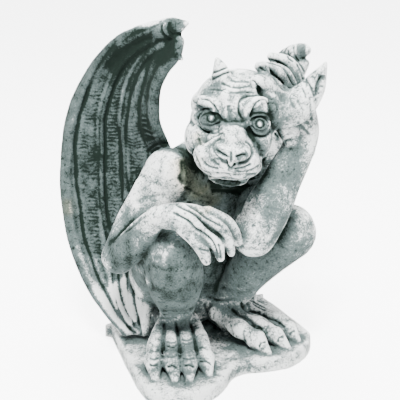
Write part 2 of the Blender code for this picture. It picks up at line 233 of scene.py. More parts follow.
# Trunk. A hunched back and a narrow chest, pushed forward between the knees.
TRUNK = [(0, 84, 76, 58), (0, 70, 130, 60), (1, 40, 200, 60),
         (3, 16, 258, 54), (4, -10, 306, 46), (6, -32, 340, 47)]
SHOULDER_LINE = [(-64, 10, 282, 31), (-34, 20, 280, 37), (4, 22, 287, 42),
                 (40, 18, 284, 40), (76, 6, 282, 33)]
RIB_CAGE = ((2, 28, 236), (76, 50, 82))
SEAT = ((0, 82, 84), (80, 54, 64))


def rounded(centre, radii, place=None):
    """A ball stretched to three radii: rings of latitude, cosine of it wide and its sine high."""
    high = np.radians(np.linspace(-88, 88, 25))[:, None]
    turn = np.linspace(0, 2 * math.pi, 40, endpoint=False)[None, :]
    rings = np.stack([np.cos(high) * np.cos(turn), np.cos(high) * np.sin(turn),
                      np.sin(high) * np.ones_like(turn)], axis=-1) * radii + centre
    add_rings(rings if place is None else place(rings.reshape(-1, 3)).reshape(rings.shape))


limb(TRUNK, sides=48)
limb(SHOULDER_LINE, sides=40)
rounded(*RIB_CAGE)
rounded(*SEAT)


# Arms. The right hangs its hand over the right knee. The left stands on its elbow by
# the left thigh and holds the head, with the fingers laid over the brow.
ARM_RIGHT = [(-64, 6, 287, 34), (-88, 10, 252, 29), (-118, 12, 208, 26), (-139, 6, 176, 24)]
FOREARM_RIGHT = [(-140, 8, 175, 23), (-132, -12, 192, 22), (-120, -40, 226, 19), (-111, -64, 253, 14)]
PALM_RIGHT = [(-112, -62, 252, 14), (-96, -86, 258, 18), (-76, -102, 256, 20)]
FINGERS_RIGHT = [
    [(-92, -100, 246, 9), (-80, -115, 232, 9), (-71, -121, 216, 8.5), (-66, -119, 203, 6.5)],
    [(-80, -107, 252, 9), (-64, -120, 239, 9), (-53, -123, 224, 8.5), (-46, -119, 204, 6)],
    [(-68, -107, 258, 9), (-47, -119, 245, 9), (-36, -120, 227, 8), (-29, -116, 207, 6)],
    [(-56, -100, 262, 9), (-32, -108, 248, 8.5), (-19, -106, 230, 8), (-11, -100, 213, 6)],
]
ARM_LEFT = [(79, 7, 286, 34), (60, -28, 258, 33), (40, -62, 236, 32), (22, -80, 220, 30)]
FOREARM_LEFT = [(20, -86, 214, 30), (40, -86, 248, 31), (66, -81, 286, 26), (92, -77, 326, 22)]
PALM_LEFT = [(92, -77, 324, 22), (94, -73, 348, 26), (88, -69, 378, 26), (84, -68, 392, 20)]
FINGERS_LEFT = [
    [(100, -62, 398, 10), (92, -62, 422, 10.5), (76, -62, 439, 10), (54, -64, 449, 7)],
    [(84, -69, 396, 11), (68, -74, 424, 10.5), (46, -80, 436, 10), (25, -84, 443, 7)],
    [(68, -80, 384, 14), (52, -85, 402, 15), (33, -93, 420, 13), (14, -99, 428, 9.5)],
]
THUMB_HEEL = [(58, -84, 404, 12), (60, -86, 388, 14), (62, -86, 372, 15), (68, -85, 356, 15),
              (76, -84, 342, 13), (86, -82, 332, 12)]
FINGER_PAD = [(24, -86, 408, 11), (48, -86, 396, 13)]
LEFT_SHOULDER_TOP = [(58, 18, 298, 30), (98, 22, 301, 26)]
for stations in (ARM_RIGHT, FOREARM_RIGHT, PALM_RIGHT, ARM_LEFT, FOREARM_LEFT, PALM_LEFT, THUMB_HEEL,
                 LEFT_SHOULDER_TOP, FINGER_PAD):
    limb(stations, sides=36)
for finger in FINGERS_RIGHT + FINGERS_LEFT:
    limb(finger)


# Head. A snub beast's head with heavy brows, short horns and pointed ears, turned
# to its right. It has a frame of its own: x to its left, -y out of the face, z up.
HEAD_CENTRE = np.array([6.0, -60.0, 358.0])
HEAD_TURN = np.array(Euler((math.radians(5.0), math.radians(5.4), math.radians(-30.0)),
                           "YXZ").to_matrix())
HEAD_FORMS = {
    "skull": ((1, 6, 29), (60, 60, 47)),
    "right temple": ((-41, -12, 11), (21, 32, 31)),
    "right cheek": ((-42, -18, -10), (25, 34, 29)),
    "left cheek": ((29, -24, -2), (19, 32, 28)),
    "jaw": ((-2, -28, -38), (36, 38, 24)),
    "muzzle": ((-7, -54, -20), (44, 42, 27)),
    "muzzle top": ((-5, -52, -3), (32, 36, 22)),
    "upper lip": ((-5, -48, -31), (43, 37, 18)),
    "nose bridge": ((-4, -59, 14), (18, 28, 14)),
    "nose root": ((-6, -46, 27), (20, 14, 12)),
    "nose": ((-4, -81, -2), (26, 19, 13)),
    "nose point": ((-3, -88, -10), (8, 9, 11)),
    "brow": ((-3, -34, 44), (51, 17, 12)),
    "right eye": ((-34, -43, 23), (15, 12, 12)),
    "left eye": ((29, -44, 25), (14, 12, 13)),
    "left eye hood": ((28, -41, 42), (11, 10, 9)),
    "lower lip": ((-4, -45, -53), (27, 18, 9)),
}
BROW_RIGHT = [(-55, -27, 42, 6), (-46, -37, 46, 7), (-34, -43, 46, 7), (-25, -46, 38, 6), (-20, -48, 28, 4)]
BROW_LEFT = [(31, -38, 54, 6), (22, -45, 55, 7), (14, -49, 49, 6.5), (11, -51, 40, 5.5), (13, -52, 31, 4)]
FOLD_RIGHT = [(-18, -40, 57, 7), (-15, -46, 46, 6.5), (-13, -50, 36, 6), (-11, -52, 29, 5)]
FOLD_LEFT = [(-3, -42, 54, 6.5), (-3, -48, 44, 6), (-4, -51, 35, 5)]
HORN_RIGHT = [(-24, -8, 56, 15), (-26, -9, 68, 14), (-29, -10, 80, 10.5), (-34, -10, 93, 3.5)]
HORN_LEFT = [(24, -8, 58, 15), (25, -9, 68, 13), (28, -10, 79, 8), (31, -10, 90, 2)]
EAR_LEFT = [(48, 0, 26, 20), (72, 2, 38, 24), (89, 4, 58, 18), (97, 4, 79, 12), (104, 4, 100, 2.5)]
EAR_RIGHT = [(-46, 24, 12, 16), (-52, 42, 14, 15), (-50, 64, 18, 10), (-46, 84, 22, 2.5)]


def on_head(points):
    """From the head's own frame to the block's."""
    return points @ HEAD_TURN.T + HEAD_CENTRE


for centre, radii in HEAD_FORMS.values():
    rounded(centre, radii, on_head)
for stations in (BROW_RIGHT, BROW_LEFT, FOLD_RIGHT, FOLD_LEFT, HORN_RIGHT, HORN_LEFT,
                 EAR_LEFT, EAR_RIGHT):
    limb(stations, place=on_head)


# Wings. Each is a hollow leaf between a rolled rim and an inner edge, with long ribs and a
# hooked claw at the tip. They stand behind the shoulders and are cast in one with the back.
WING_RIM_LINE = [
    (-55, -11, 490), (-81, 34, 480), (-110, 80, 452), (-132, 122, 404), (-151, 147, 346),
    (-159, 156, 286), (-163, 154, 223), (-158, 139, 150), (-141, 107, 86), (-111, 61, 34),
]
WING_INNER_LINE = [
    (-56, -12, 470), (-58, -4, 450), (-66, 18, 424), (-72, 33, 392), (-66, 46, 345),
    (-44, 54, 292), (-40, 62, 218), (-56, 64, 146), (-74, 56, 88), (-88, 48, 34),
]
WING_WALL = 11.0
WING_RIM = 8.8
WING_RIB = 5.6
WING_HOLLOW = 24.0
WING_BELLY = np.array([0.5, 0.86, 0.0])
WING_RIB_SHARES = (0.33, 0.58)
WING_CLAW = [(-70, 22, 480, 12), (-61, 4, 486, 13), (-56, -6, 489, 11),
             (-52, -12, 491, 8), (-48, -19, 494, 4)]
WING_SPUR = [(-58, -4, 452, 8), (-52, -14, 446, 2)]
LEFT_LEAN = 0.155
LEFT_REACH = 0.89
LEFT_SWING = math.radians(18.0)
LEFT_ROOT = np.array([40.0, 55.0])
SWING = np.array([[math.cos(LEFT_SWING), -math.sin(LEFT_SWING)],
                  [math.sin(LEFT_SWING), math.cos(LEFT_SWING)]])


def to_left_wing(points):
    """The right wing's place mirrored, swung back about the left root, lowered by the reach,
    and leaned outwards in proportion to the height above the slab."""
    height = (points[:, 2] - SLAB_THICK) * LEFT_REACH
    flat = (points[:, :2] * (-1.0, 1.0) - LEFT_ROOT) @ SWING.T + LEFT_ROOT
    return np.column_stack([flat[:, 0] + LEFT_LEAN * height, flat[:, 1], SLAB_THICK + height])


def from_left_wing(points):
    """The way back: from a place on the left wing to its twin on the right wing."""
    height = points[:, 2] - SLAB_THICK
    flat = points[:, :2] - np.column_stack([LEFT_LEAN * height, np.zeros(len(height))])
    flat = (flat - LEFT_ROOT) @ SWING + LEFT_ROOT
    return np.column_stack([-flat[:, 0], flat[:, 1], SLAB_THICK + height / LEFT_REACH])


def leaf(outer, inner, share):
    """Straight from the rim to the inner edge, pushed back along the belly direction in a
    half sine of the share of the way across."""
    width = np.linalg.norm(outer - inner, axis=1)[:, None, None]
    depth = np.minimum(WING_HOLLOW, 0.2 * width) * np.sin(math.pi * share)[None, :, None]
    return (outer[:, None] * (1 - share)[None, :, None] + inner[:, None] * share[None, :, None]
            + WING_BELLY * depth)


for wing_place in (None, to_left_wing):
    outer = through(WING_RIM_LINE, 10)
    inner = through(WING_INNER_LINE, 10)
    share = np.linspace(0, 1, 25)
    skin = leaf(outer, inner, share)
    down = np.gradient(skin, axis=0)
    over = np.gradient(skin, axis=1)
    wall = np.cross(down, over)
    wall *= 0.5 * WING_WALL / np.linalg.norm(wall, axis=2)[:, :, None]
    rings = np.concatenate([skin + wall, (skin - wall)[:, ::-1]], axis=1)
    if wing_place is not None:
        rings = wing_place(rings.reshape(-1, 3)).reshape(rings.shape)
    add_rings(rings)
    limb([(*point, WING_RIM) for point in WING_RIM_LINE], place=wing_place)
    limb([(*point, WING_RIM * 0.9) for point in WING_INNER_LINE], place=wing_place)
    for share_across in WING_RIB_SHARES:
        rib = leaf(outer, inner, np.array([share_across]))[10::10, 0] - WING_BELLY * WING_RIB
        limb(np.column_stack([rib, np.full(len(rib), WING_RIB)]), place=wing_place)
    limb(WING_CLAW, place=wing_place)
    limb(WING_SPUR, place=wing_place)


# Fusing. All forms become one skin, as a casting is one block: a voxel remesh joins them, and
# the hollows where they meet are rounded off, as a modelling tool leaves them in clay.
FUSE_CELL = 0.00125
BLEND_PASSES = 16
CLEAN_FEET = 1.6            # what lies lower than this is the flat underside

rough = bpy.data.meshes.new("forms")
rough.from_pydata((np.concatenate(block_points) * METRE).tolist(), [], block_faces)
forms = bpy.data.objects.new("forms", rough)
bpy.context.scene.collection.objects.link(forms)
fuse = forms.modifiers.new("fuse", "REMESH")
fuse.mode = "VOXEL"
fuse.voxel_size = FUSE_CELL
bpy.context.view_layer.update()
fused = bpy.data.meshes.new_from_object(forms.evaluated_get(bpy.context.evaluated_depsgraph_get()))
bpy.data.objects.remove(forms)
points = np.empty(len(fused.vertices) * 3)
fused.vertices.foreach_get("co", points)
points = points.reshape(-1, 3) / METRE
quads = np.empty(len(fused.polygons) * 4, int)
fused.polygons.foreach_get("vertices", quads)
quads = quads.reshape(-1, 4)
faces = np.concatenate([quads[:, :3], quads[:, [0, 2, 3]]])
bpy.data.meshes.remove(fused)


def edge_keys(faces, count):
    """For each face its three edges as one number, smaller point times the count plus the larger."""
    pairs = np.stack([faces, np.roll(faces, -1, axis=1)], axis=2)
    pairs.sort(axis=2)
    return pairs[:, :, 0] * count + pairs[:, :, 1]


def neighbours(faces, count):
    """Each pair of points that share an edge, once."""
    keys = np.unique(edge_keys(faces, count))
    return np.column_stack([keys // count, keys % count])


def gathered(values, edges):
    """Mean of a value over each point's neighbours."""
    shared = np.bincount(edges.ravel(), minlength=len(values))
    total = [np.bincount(edges[:, 0], column[edges[:, 1]], len(values))
             + np.bincount(edges[:, 1], column[edges[:, 0]], len(values)) for column in values.T]
    return np.column_stack(total) / shared[:, None]


def normals_of(points, faces):
    """Unit normals of the points: the sum of the cross products of the faces around each."""
    a, b, c = (points[faces[:, k]] for k in range(3))
    cross = np.cross(b - a, c - a)
    total = np.column_stack([sum(np.bincount(faces[:, k], cross[:, axis], len(points))
                                 for k in range(3)) for axis in range(3)])
    return total / np.maximum(np.linalg.norm(total, axis=1), 1e-12)[:, None]


POINTED = np.vstack([
    np.array(CLAWS_RIGHT + CLAWS_LEFT, float),
    on_head(np.array([HORN_RIGHT[-1][:3], HORN_LEFT[-1][:3], EAR_LEFT[-1][:3], EAR_RIGHT[-1][:3]], float)),
    [WING_CLAW[-1][:3], WING_SPUR[-1][:3]],
    to_left_wing(np.array([WING_CLAW[-1][:3], WING_SPUR[-1][:3]], float)),
])
POINT_REACH = 13.0
nearest = np.full(len(points), 1e9)
for tip in POINTED:
    nearest = np.minimum(nearest, np.linalg.norm(points - tip, axis=1))
give = 0.5 * (0.12 + 0.88 * (1 - np.exp(-(nearest / POINT_REACH) ** 2)))[:, None]
edges = neighbours(faces, len(points))
for _ in range(BLEND_PASSES):
    points += give * (gathered(points, edges) - points)


# Carving. Lines and swellings are cut with a tool from the front, so each is laid out on the
# image frame, and follows the line of sight to the first surface that it meets there.
PIXELS_WIDE = FRAME * LENS / SENSOR
eye_place = np.array(EYE) / METRE
sight = np.array((AIM - EYE).normalized())
sideways = np.cross(sight, (0.0, 0.0, 1.0))
sideways /= np.linalg.norm(sideways)
upwards = np.cross(sideways, sight)
HIDDEN_BY = 5.0             # a point this much farther than the nearest one is behind it


def on_frame(points):
    """Column and row in the frame, by perspective division, and the distance along the sight."""
    gap = points - eye_place
    far = gap @ sight
    return np.column_stack([FRAME / 2 + PIXELS_WIDE * (gap @ sideways) / far,
                            FRAME / 2 - PIXELS_WIDE * (gap @ upwards) / far]), far


def toward_eye(points, normals):
    """0 where the surface turns away, rising to 1 where it faces the eye by a fair angle."""
    back = eye_place - points
    slant = np.sum(normals * back, axis=1) / np.linalg.norm(back, axis=1)
    rise = np.clip((slant - 0.02) / 0.3, 0, 1)
    return rise * rise * (3 - 2 * rise)


def in_view(points, normals):
    """The same, but 0 behind a nearer form: each frame pixel keeps its nearest distance."""
    place, far = on_frame(points)
    column, row = np.clip(place.astype(int), 0, int(FRAME) - 1).T
    cell = row * int(FRAME) + column
    nearest = np.full(int(FRAME) ** 2, 1e9)
    np.minimum.at(nearest, cell, far)
    return toward_eye(points, normals) * (far < nearest[cell] + HIDDEN_BY)


def refined(points, faces, chosen):
    """Splits the chosen faces in four at the middles of their edges, and their neighbours in
    two or three, so that no edge is left open."""
    keys = edge_keys(faces, len(points))
    split = np.unique(keys[chosen])
    middle = np.searchsorted(split, keys)
    cut = split[np.minimum(middle, len(split) - 1)] == keys
    middle = len(points) + np.minimum(middle, len(split) - 1)
    ends = np.column_stack([split // len(points), split % len(points)])
    amount = cut.sum(axis=1)
    fresh = [faces[amount == 0]]
    first = np.where(amount == 1, np.argmax(cut, axis=1), np.argmin(cut, axis=1))
    turned = (first[:, None] + np.arange(3)) % 3
    face = np.take_along_axis(faces, turned, axis=1)
    mid = np.take_along_axis(middle, turned, axis=1)
    (a, b, c), (ab, bc, ca) = face[amount == 1].T, mid[amount == 1].T
    fresh += [np.column_stack([a, ab, c]), np.column_stack([ab, b, c])]
    (a, b, c), (ab, bc, ca) = face[amount == 2].T, mid[amount == 2].T
    fresh += [np.column_stack([a, b, bc]), np.column_stack([a, bc, ca]), np.column_stack([ca, bc, c])]
    (a, b, c), (ab, bc, ca) = face[amount == 3].T, mid[amount == 3].T
    fresh += [np.column_stack([a, ab, ca]), np.column_stack([ab, b, bc]),
              np.column_stack([ca, bc, c]), np.column_stack([ab, bc, ca])]
    return np.vstack([points, points[ends].mean(axis=1)]), np.concatenate(fresh)


def wing_share(points):
    """Share of the way from the rim to the inner edge at the point's own height, and how far the
    point lies from that straight line, level."""
    rim, edge = through(WING_RIM_LINE, 10)[::-1], through(WING_INNER_LINE, 10)[::-1]
    height = points[:, 2]
    start = np.column_stack([np.interp(height, rim[:, 2], rim[:, axis]) for axis in (0, 1)])
    stop = np.column_stack([np.interp(height, edge[:, 2], edge[:, axis]) for axis in (0, 1)])
    chord = stop - start
    gap = points[:, :2] - start
    share = np.sum(gap * chord, axis=1) / np.sum(chord ** 2, axis=1)
    return share, np.linalg.norm(gap - share[:, None] * chord, axis=1)


def on_wing(points):
    """True for points of a wing: near its leaf and outside its inner edge."""
    share, off = wing_share(points)
    return (share > -0.25) & (share < 0.93) & (off < 42) & (points[:, 2] > 30)


# Face, left hand, right hand, right foot and left foot, as left, top, right and bottom.
FINE_PLACES = [(183, 62, 284, 192), (248, 60, 326, 146), (140, 194, 242, 268),
               (146, 306, 214, 384), (208, 292, 300, 356)]

normals = normals_of(points, faces)
view = in_view(points, normals)
place, _ = on_frame(points)
wanted = np.zeros(len(points), bool)
for left, top, right, bottom in FINE_PLACES:
    wanted |= (view > 0.02) & np.all((place > (left, top)) & (place < (right, bottom)), axis=1)
points, faces = refined(points, faces, wanted[faces].all(axis=1))
normals = normals_of(points, faces)
view = in_view(points, normals)
twin = from_left_wing(points)
left_wing_point = on_wing(twin) & (points[:, 0] > 30) & (points[:, 1] > -10)
edges = neighbours(faces, len(points))
points += 0.4 * (gathered(points, edges) - points)
place, _ = on_frame(points)


def line_distance(place, line):
    """Distance to a smooth line through the given points, and the share of its length there."""
    knots = through(line, 6)
    length = np.concatenate([[0], np.cumsum(np.linalg.norm(np.diff(knots, axis=0), axis=1))])
    best, along = np.full(len(place), 1e9), np.zeros(len(place))
    for start, stop, before in zip(knots, knots[1:], length):
        chord = stop - start
        reach = np.dot(chord, chord)
        if reach == 0:
            continue
        share = np.clip((place - start) @ chord / reach, 0, 1)
        off = np.linalg.norm(place - start - share[:, None] * chord, axis=1)
        nearer = off < best
        best[nearer] = off[nearer]
        along[nearer] = (before + share[nearer] * math.sqrt(reach)) / length[-1]
    return best, along


STROKE_SPREAD = 1.25        # the cuts have weathered wider than they were made


def strokes_on(place, strokes):
    """Height in mm that the strokes add: each has a bell profile across its line, as wide as its
    half width, and runs out to nothing over a tenth of its length at both ends."""
    height = np.zeros(len(place))
    for half_width, depth, line in strokes:
        half_width *= STROKE_SPREAD
        low, high = np.min(line, axis=0) - 3 * half_width, np.max(line, axis=0) + 3 * half_width
        near = np.nonzero(np.all((place > low) & (place < high), axis=1))[0]
        off, along = line_distance(place[near], line)
        ends = np.clip(np.minimum(along, 1 - along) / 0.1, 0, 1) ** 0.5
        height[near] += depth * ends * np.exp(-(off / half_width) ** 2)
    return height


def lumps(places, cell, seed):
    """Smooth noise from -1 to 1: random values on a lattice of the given cell, blended between
    lattice points with a smooth step."""
    lattice = np.random.RandomState(seed).uniform(-1, 1, (32, 32, 32))
    scaled = places / cell
    if scaled.shape[1] == 2:
        scaled = np.column_stack([scaled, np.zeros(len(scaled))])
    base = np.floor(scaled).astype(int)
    part = scaled - base
    part = part * part * (3 - 2 * part)
    total = np.zeros(len(places))
    for corner in np.ndindex(2, 2, 2):
        weight = np.prod(np.where(corner, part, 1 - part), axis=1)
        total += weight * lattice[tuple(((base + corner) % 32).T)]
    return total


FACE_STROKES = [
    (1.0, -0.9, [(229.9, 80.0), (235.5, 81.3), (242.8, 81.6), (249.3, 81.3)]),
    (1.0, -1.1, [(220.7, 83.2), (226.2, 84.6), (231.8, 86.9), (237.3, 87.3), (244.7, 86.6), (250.2,
     85.5)]),
    (1.0, -1.1, [(207.7, 89.7), (213.3, 89.4), (220.7, 89.9), (228.1, 92.0), (235.5, 92.4), (244.7,
     91.8), (253.9, 92.4), (260.4, 92.0)]),
    (0.9, -0.5, [(206.8, 92.7), (213.3, 92.4)]),
    (1.2, -2.1, [(200.8, 99.2), (205.0, 98.9), (208.7, 100.3), (212.3, 103.5), (215.6, 107.7), (217.4,
     112.3), (219.3, 116.9), (221.6, 120.6)]),
    (1.1, -1.7, [(260.4, 94.7), (253.9, 94.9), (247.5, 96.1), (242.8, 98.0), (240.1, 101.2), (239.1,
     106.8), (239.1, 112.3), (241.0, 116.9), (243.8, 119.7)]),
    (1.2, -2.1, [(266.0, 99.4), (261.3, 99.8), (257.6, 102.1), (254.9, 105.8), (253.0, 110.5), (251.6,
     115.1), (250.7, 118.8)]),
    (1.9, -1.8, [(228.5, 104.9), (229.0, 110.5), (229.0, 116.0), (229.4, 119.7)]),
    (2.0, -2.0, [(220.7, 118.8), (226.2, 120.8), (231.8, 120.2), (239.1, 120.6), (246.5, 121.7)]),
    (0.9, -0.8, [(229.0, 124.8), (235.5, 124.1), (241.0, 125.7), (246.5, 128.9)]),
    (1.4, -2.0, [(223.4, 131.7), (218.8, 133.6), (213.3, 135.4), (208.7, 138.6), (203.1, 142.3)]),
    (1.1, -1.7, [(221.1, 138.6), (217.0, 139.6), (213.7, 142.3), (212.3, 146.5), (213.3, 151.1), (216.0,
     155.7), (220.7, 159.4), (225.3, 162.7), (227.1, 165.0)]),
    (1.2, -1.9, [(244.7, 141.4), (248.4, 142.8), (251.6, 146.5), (252.6, 151.1), (251.6, 155.7), (248.4,
     160.4), (243.8, 162.7), (237.3, 164.1)]),
    (1.4, -3.2, [(216.0, 148.8), (219.7, 152.0), (224.4, 155.3), (228.1, 157.6)]),
    (2.0, -3.8, [(236.4, 158.5), (240.1, 156.2), (243.8, 154.8), (247.5, 155.3)]),
    (1.0, -1.5, [(231.1, 151.1), (231.1, 156.7), (230.6, 162.2)]),
    (1.1, -1.8, [(225.7, 159.4), (227.6, 165.0), (230.4, 168.5)]),
    (1.1, -1.8, [(235.9, 163.6), (233.1, 166.8), (230.8, 168.9)]),
    (1.0, -1.0, [(212.3, 159.4), (216.0, 163.1), (219.7, 165.0)]),
    (1.1, -1.4, [(201.7, 156.7), (202.6, 161.3), (206.8, 165.0), (212.3, 167.8), (218.8, 169.1)]),
    (1.1, -1.6, [(199.4, 169.6), (204.0, 171.9), (210.5, 173.3), (217.0, 173.8), (224.4, 174.2), (231.8,
     175.1)]),
    (1.0, -1.0, [(201.7, 175.6), (206.8, 176.5), (211.4, 175.4)]),
    (1.2, -1.6, [(233.6, 169.1), (239.1, 168.7), (244.7, 167.3), (248.4, 165.4), (251.6, 163.6)]),
    (1.1, -1.5, [(235.5, 171.3), (241.0, 172.4), (246.5, 171.9), (253.0, 169.6), (256.7, 167.3), (259.9,
     164.5)]),
    (1.1, -1.6, [(231.8, 175.1), (239.1, 175.6), (246.5, 175.1), (253.0, 174.4), (260.4, 174.2)]),
    (1.1, -1.4, [(242.8, 178.8), (248.4, 178.8), (253.9, 177.9), (259.5, 176.1)]),
    (1.4, -3.4, [(206.8, 181.8), (213.3, 180.9), (219.7, 179.8), (226.2, 179.6), (231.8, 180.5), (237.3,
     182.1), (242.8, 184.2), (248.4, 184.6), (253.0, 183.0)]),
    (2.2, -3.2, [(210.5, 191.3), (221.6, 192.0), (231.8, 192.0), (241.0, 191.3)]),
    (1.6, -2.0, [(186.0, 152.0), (188.3, 157.6), (192.0, 165.0), (196.6, 173.3)]),
    (1.5, -2.4, [(192.0, 148.3), (193.9, 155.7), (197.6, 164.1), (200.3, 172.4), (203.6, 179.3)]),
    (1.4, -1.1, [(198.5, 138.2), (199.9, 142.8), (201.4, 145.1)]),
    (1.4, -1.2, [(188.8, 118.8), (191.1, 122.5), (193.9, 125.7)]),
    (2.2, -2.4, [(247.0, 126.6), (250.7, 133.6), (255.8, 141.0), (260.4, 149.3), (263.2, 158.5), (264.3,
     167.8)]),
    (1.0, 1.1, [(194.8, 119.0), (198.0, 114.3), (203.1, 111.1), (209.6, 110.1), (215.6, 111.4), (219.7,
     115.1)]),
    (1.0, -0.9, [(193.9, 117.1), (197.6, 112.0), (202.2, 109.5), (207.7, 108.4), (213.3, 109.3)]),
    (1.0, -1.9, [(197.1, 119.7), (199.9, 115.7), (204.0, 113.4), (209.6, 112.5), (215.1, 113.6), (219.3,
     116.9), (220.7, 120.6)]),
    (1.0, -1.7, [(197.6, 120.2), (200.8, 123.9), (205.9, 125.7), (211.4, 126.2), (217.0, 124.3), (220.2,
     121.1)]),
    (1.1, 1.1, [(198.5, 122.9), (202.2, 126.8), (207.7, 129.1), (213.3, 128.9), (218.8, 126.3)]),
    (1.0, -1.5, [(198.0, 124.3), (201.7, 129.1), (206.8, 131.7), (212.3, 132.4), (217.9, 130.8), (222.1,
     127.3)]),
    (1.0, 1.1, [(249.8, 119.7), (252.6, 116.2), (257.6, 114.7), (263.6, 114.9), (268.7, 117.4), (271.5,
     121.1)]),
    (1.0, -1.3, [(250.2, 116.9), (253.9, 114.1), (260.4, 112.8), (266.9, 114.1), (271.0, 116.9)]),
    (1.0, -1.7, [(250.7, 121.7), (253.0, 118.5), (257.6, 116.8), (263.2, 117.1), (267.8, 119.7), (270.1,
     122.9)]),
    (1.0, -1.7, [(250.7, 125.2), (253.0, 128.9), (257.6, 131.3), (263.2, 131.3), (267.8, 128.7), (270.1,
     124.3)]),
    (1.1, 1.1, [(249.8, 127.1), (252.6, 131.2), (257.6, 133.7), (263.6, 133.5), (268.7, 130.4), (271.0,
     126.2)]),
    (1.0, -1.4, [(248.4, 126.2), (251.2, 131.7), (256.7, 135.8), (263.2, 136.4), (268.7, 133.6), (272.4,
     128.9)]),
    (1.0, -1.3, [(209.6, 80.1), (217.0, 77.2), (224.4, 73.9), (231.8, 71.5)]),
    (0.9, -1.2, [(211.0, 73.0), (217.0, 71.5), (223.4, 68.9), (228.1, 67.5)]),
    (1.1, 0.9, [(210.5, 76.3), (217.0, 74.2), (223.4, 71.6), (229.9, 69.3)]),
]
LEFT_HAND_STROKES = [
    (1.6, -3.2, [(266.3, 59.4), (271.2, 61.2), (278.3, 63.0), (283.7, 66.1), (287.7, 71.9), (291.7,
     79.9), (297.0, 87.9)]),
    (1.6, -3.2, [(256.9, 69.4), (263.2, 68.5), (270.3, 71.0), (274.8, 76.3), (280.1, 82.6), (285.5,
     90.6)]),
    (1.5, -3.0, [(252.5, 79.9), (256.0, 85.4), (261.4, 91.5), (268.5, 96.4), (273.0, 99.7)]),
    (1.2, -1.6, [(297.0, 63.0), (301.5, 70.1), (302.8, 76.3), (305.1, 83.5), (306.8, 87.0)]),
    (1.4, -0.6, [(289.5, 96.8), (291.7, 103.1), (294.4, 108.4)]),
    (1.2, -0.5, [(297.0, 99.5), (301.5, 107.5), (304.2, 111.1)]),
    (1.5, -1.3, [(310.4, 96.8), (310.9, 105.8), (311.3, 114.7), (312.4, 120.5)]),
    (1.0, -0.7, [(301.5, 87.0), (304.2, 92.4), (306.1, 98.6)]),
    (1.6, -0.9, [(297.0, 121.8), (304.2, 128.9), (311.3, 135.6)]),
    (1.3, -1.6, [(284.6, 141.9), (287.2, 140.5), (291.2, 139.8)]),
    (1.2, -1.5, [(304.2, 76.3), (306.4, 81.7), (310.9, 87.9), (315.8, 98.2)]),
    (3.4, -4.5, [(322.4, 74.6), (319.8, 82.6), (318.0, 90.6), (318.4, 97.7), (320.0, 105.8)]),
    (1.0, 1.3, [(324.2, 79.9), (321.6, 84.4), (318.4, 88.4)]),
    (1.0, 1.3, [(323.6, 87.5), (320.7, 91.5), (318.3, 94.6)]),
    (1.1, -1.5, [(293.5, 44.7), (292.6, 50.5), (295.1, 57.6), (299.0, 62.3)]),
    (1.1, -1.5, [(287.2, 49.2), (287.7, 54.1), (289.9, 58.7), (293.9, 61.4)]),
]
RIGHT_ARM_STROKES = [
    (1.3, -2.3, [(172.7, 212.0), (181.3, 216.8), (189.0, 221.6), (195.7, 229.2), (203.3, 233.0), (212.0,
     240.7), (215.3, 248.3), (217.7, 257.9)]),
    (1.4, -2.7, [(175.6, 204.3), (186.1, 209.1), (195.7, 214.9), (203.3, 222.5), (210.0, 228.3), (217.7,
     234.0), (224.4, 240.7)]),
    (1.6, -2.7, [(186.1, 202.4), (196.7, 209.1), (205.3, 215.8), (214.8, 221.6), (223.4, 226.3)]),
    (1.6, -1.2, [(145.9, 214.9), (138.3, 220.6), (131.6, 226.3), (123.9, 231.1), (118.2, 236.9), (111.5,
     241.7)]),
    (1.0, -1.2, [(198.6, 248.8), (204.3, 250.1), (211.0, 250.7)]),
    (1.1, -1.6, [(218.5, 243.6), (220.4, 251.2), (221.1, 259.4)]),
    (1.0, -1.2, [(200.5, 258.9), (204.3, 260.3), (207.2, 263.7)]),
    (2.2, -1.2, [(153.1, 257.9), (157.4, 257.2), (162.2, 257.9)]),
    (2.4, -2.2, [(182.3, 159.4), (183.4, 168.9), (181.8, 177.5), (186.1, 185.2)]),
    (2.0, -2.2, [(188.5, 155.0), (191.4, 164.1), (196.7, 172.9)]),
    (1.6, -1.0, [(199.5, 200.0), (204.3, 202.4), (210.0, 202.2)]),
    (3.0, -1.2, [(136.4, 202.4), (144.0, 198.8), (153.6, 196.7), (167.0, 195.5)]),
]
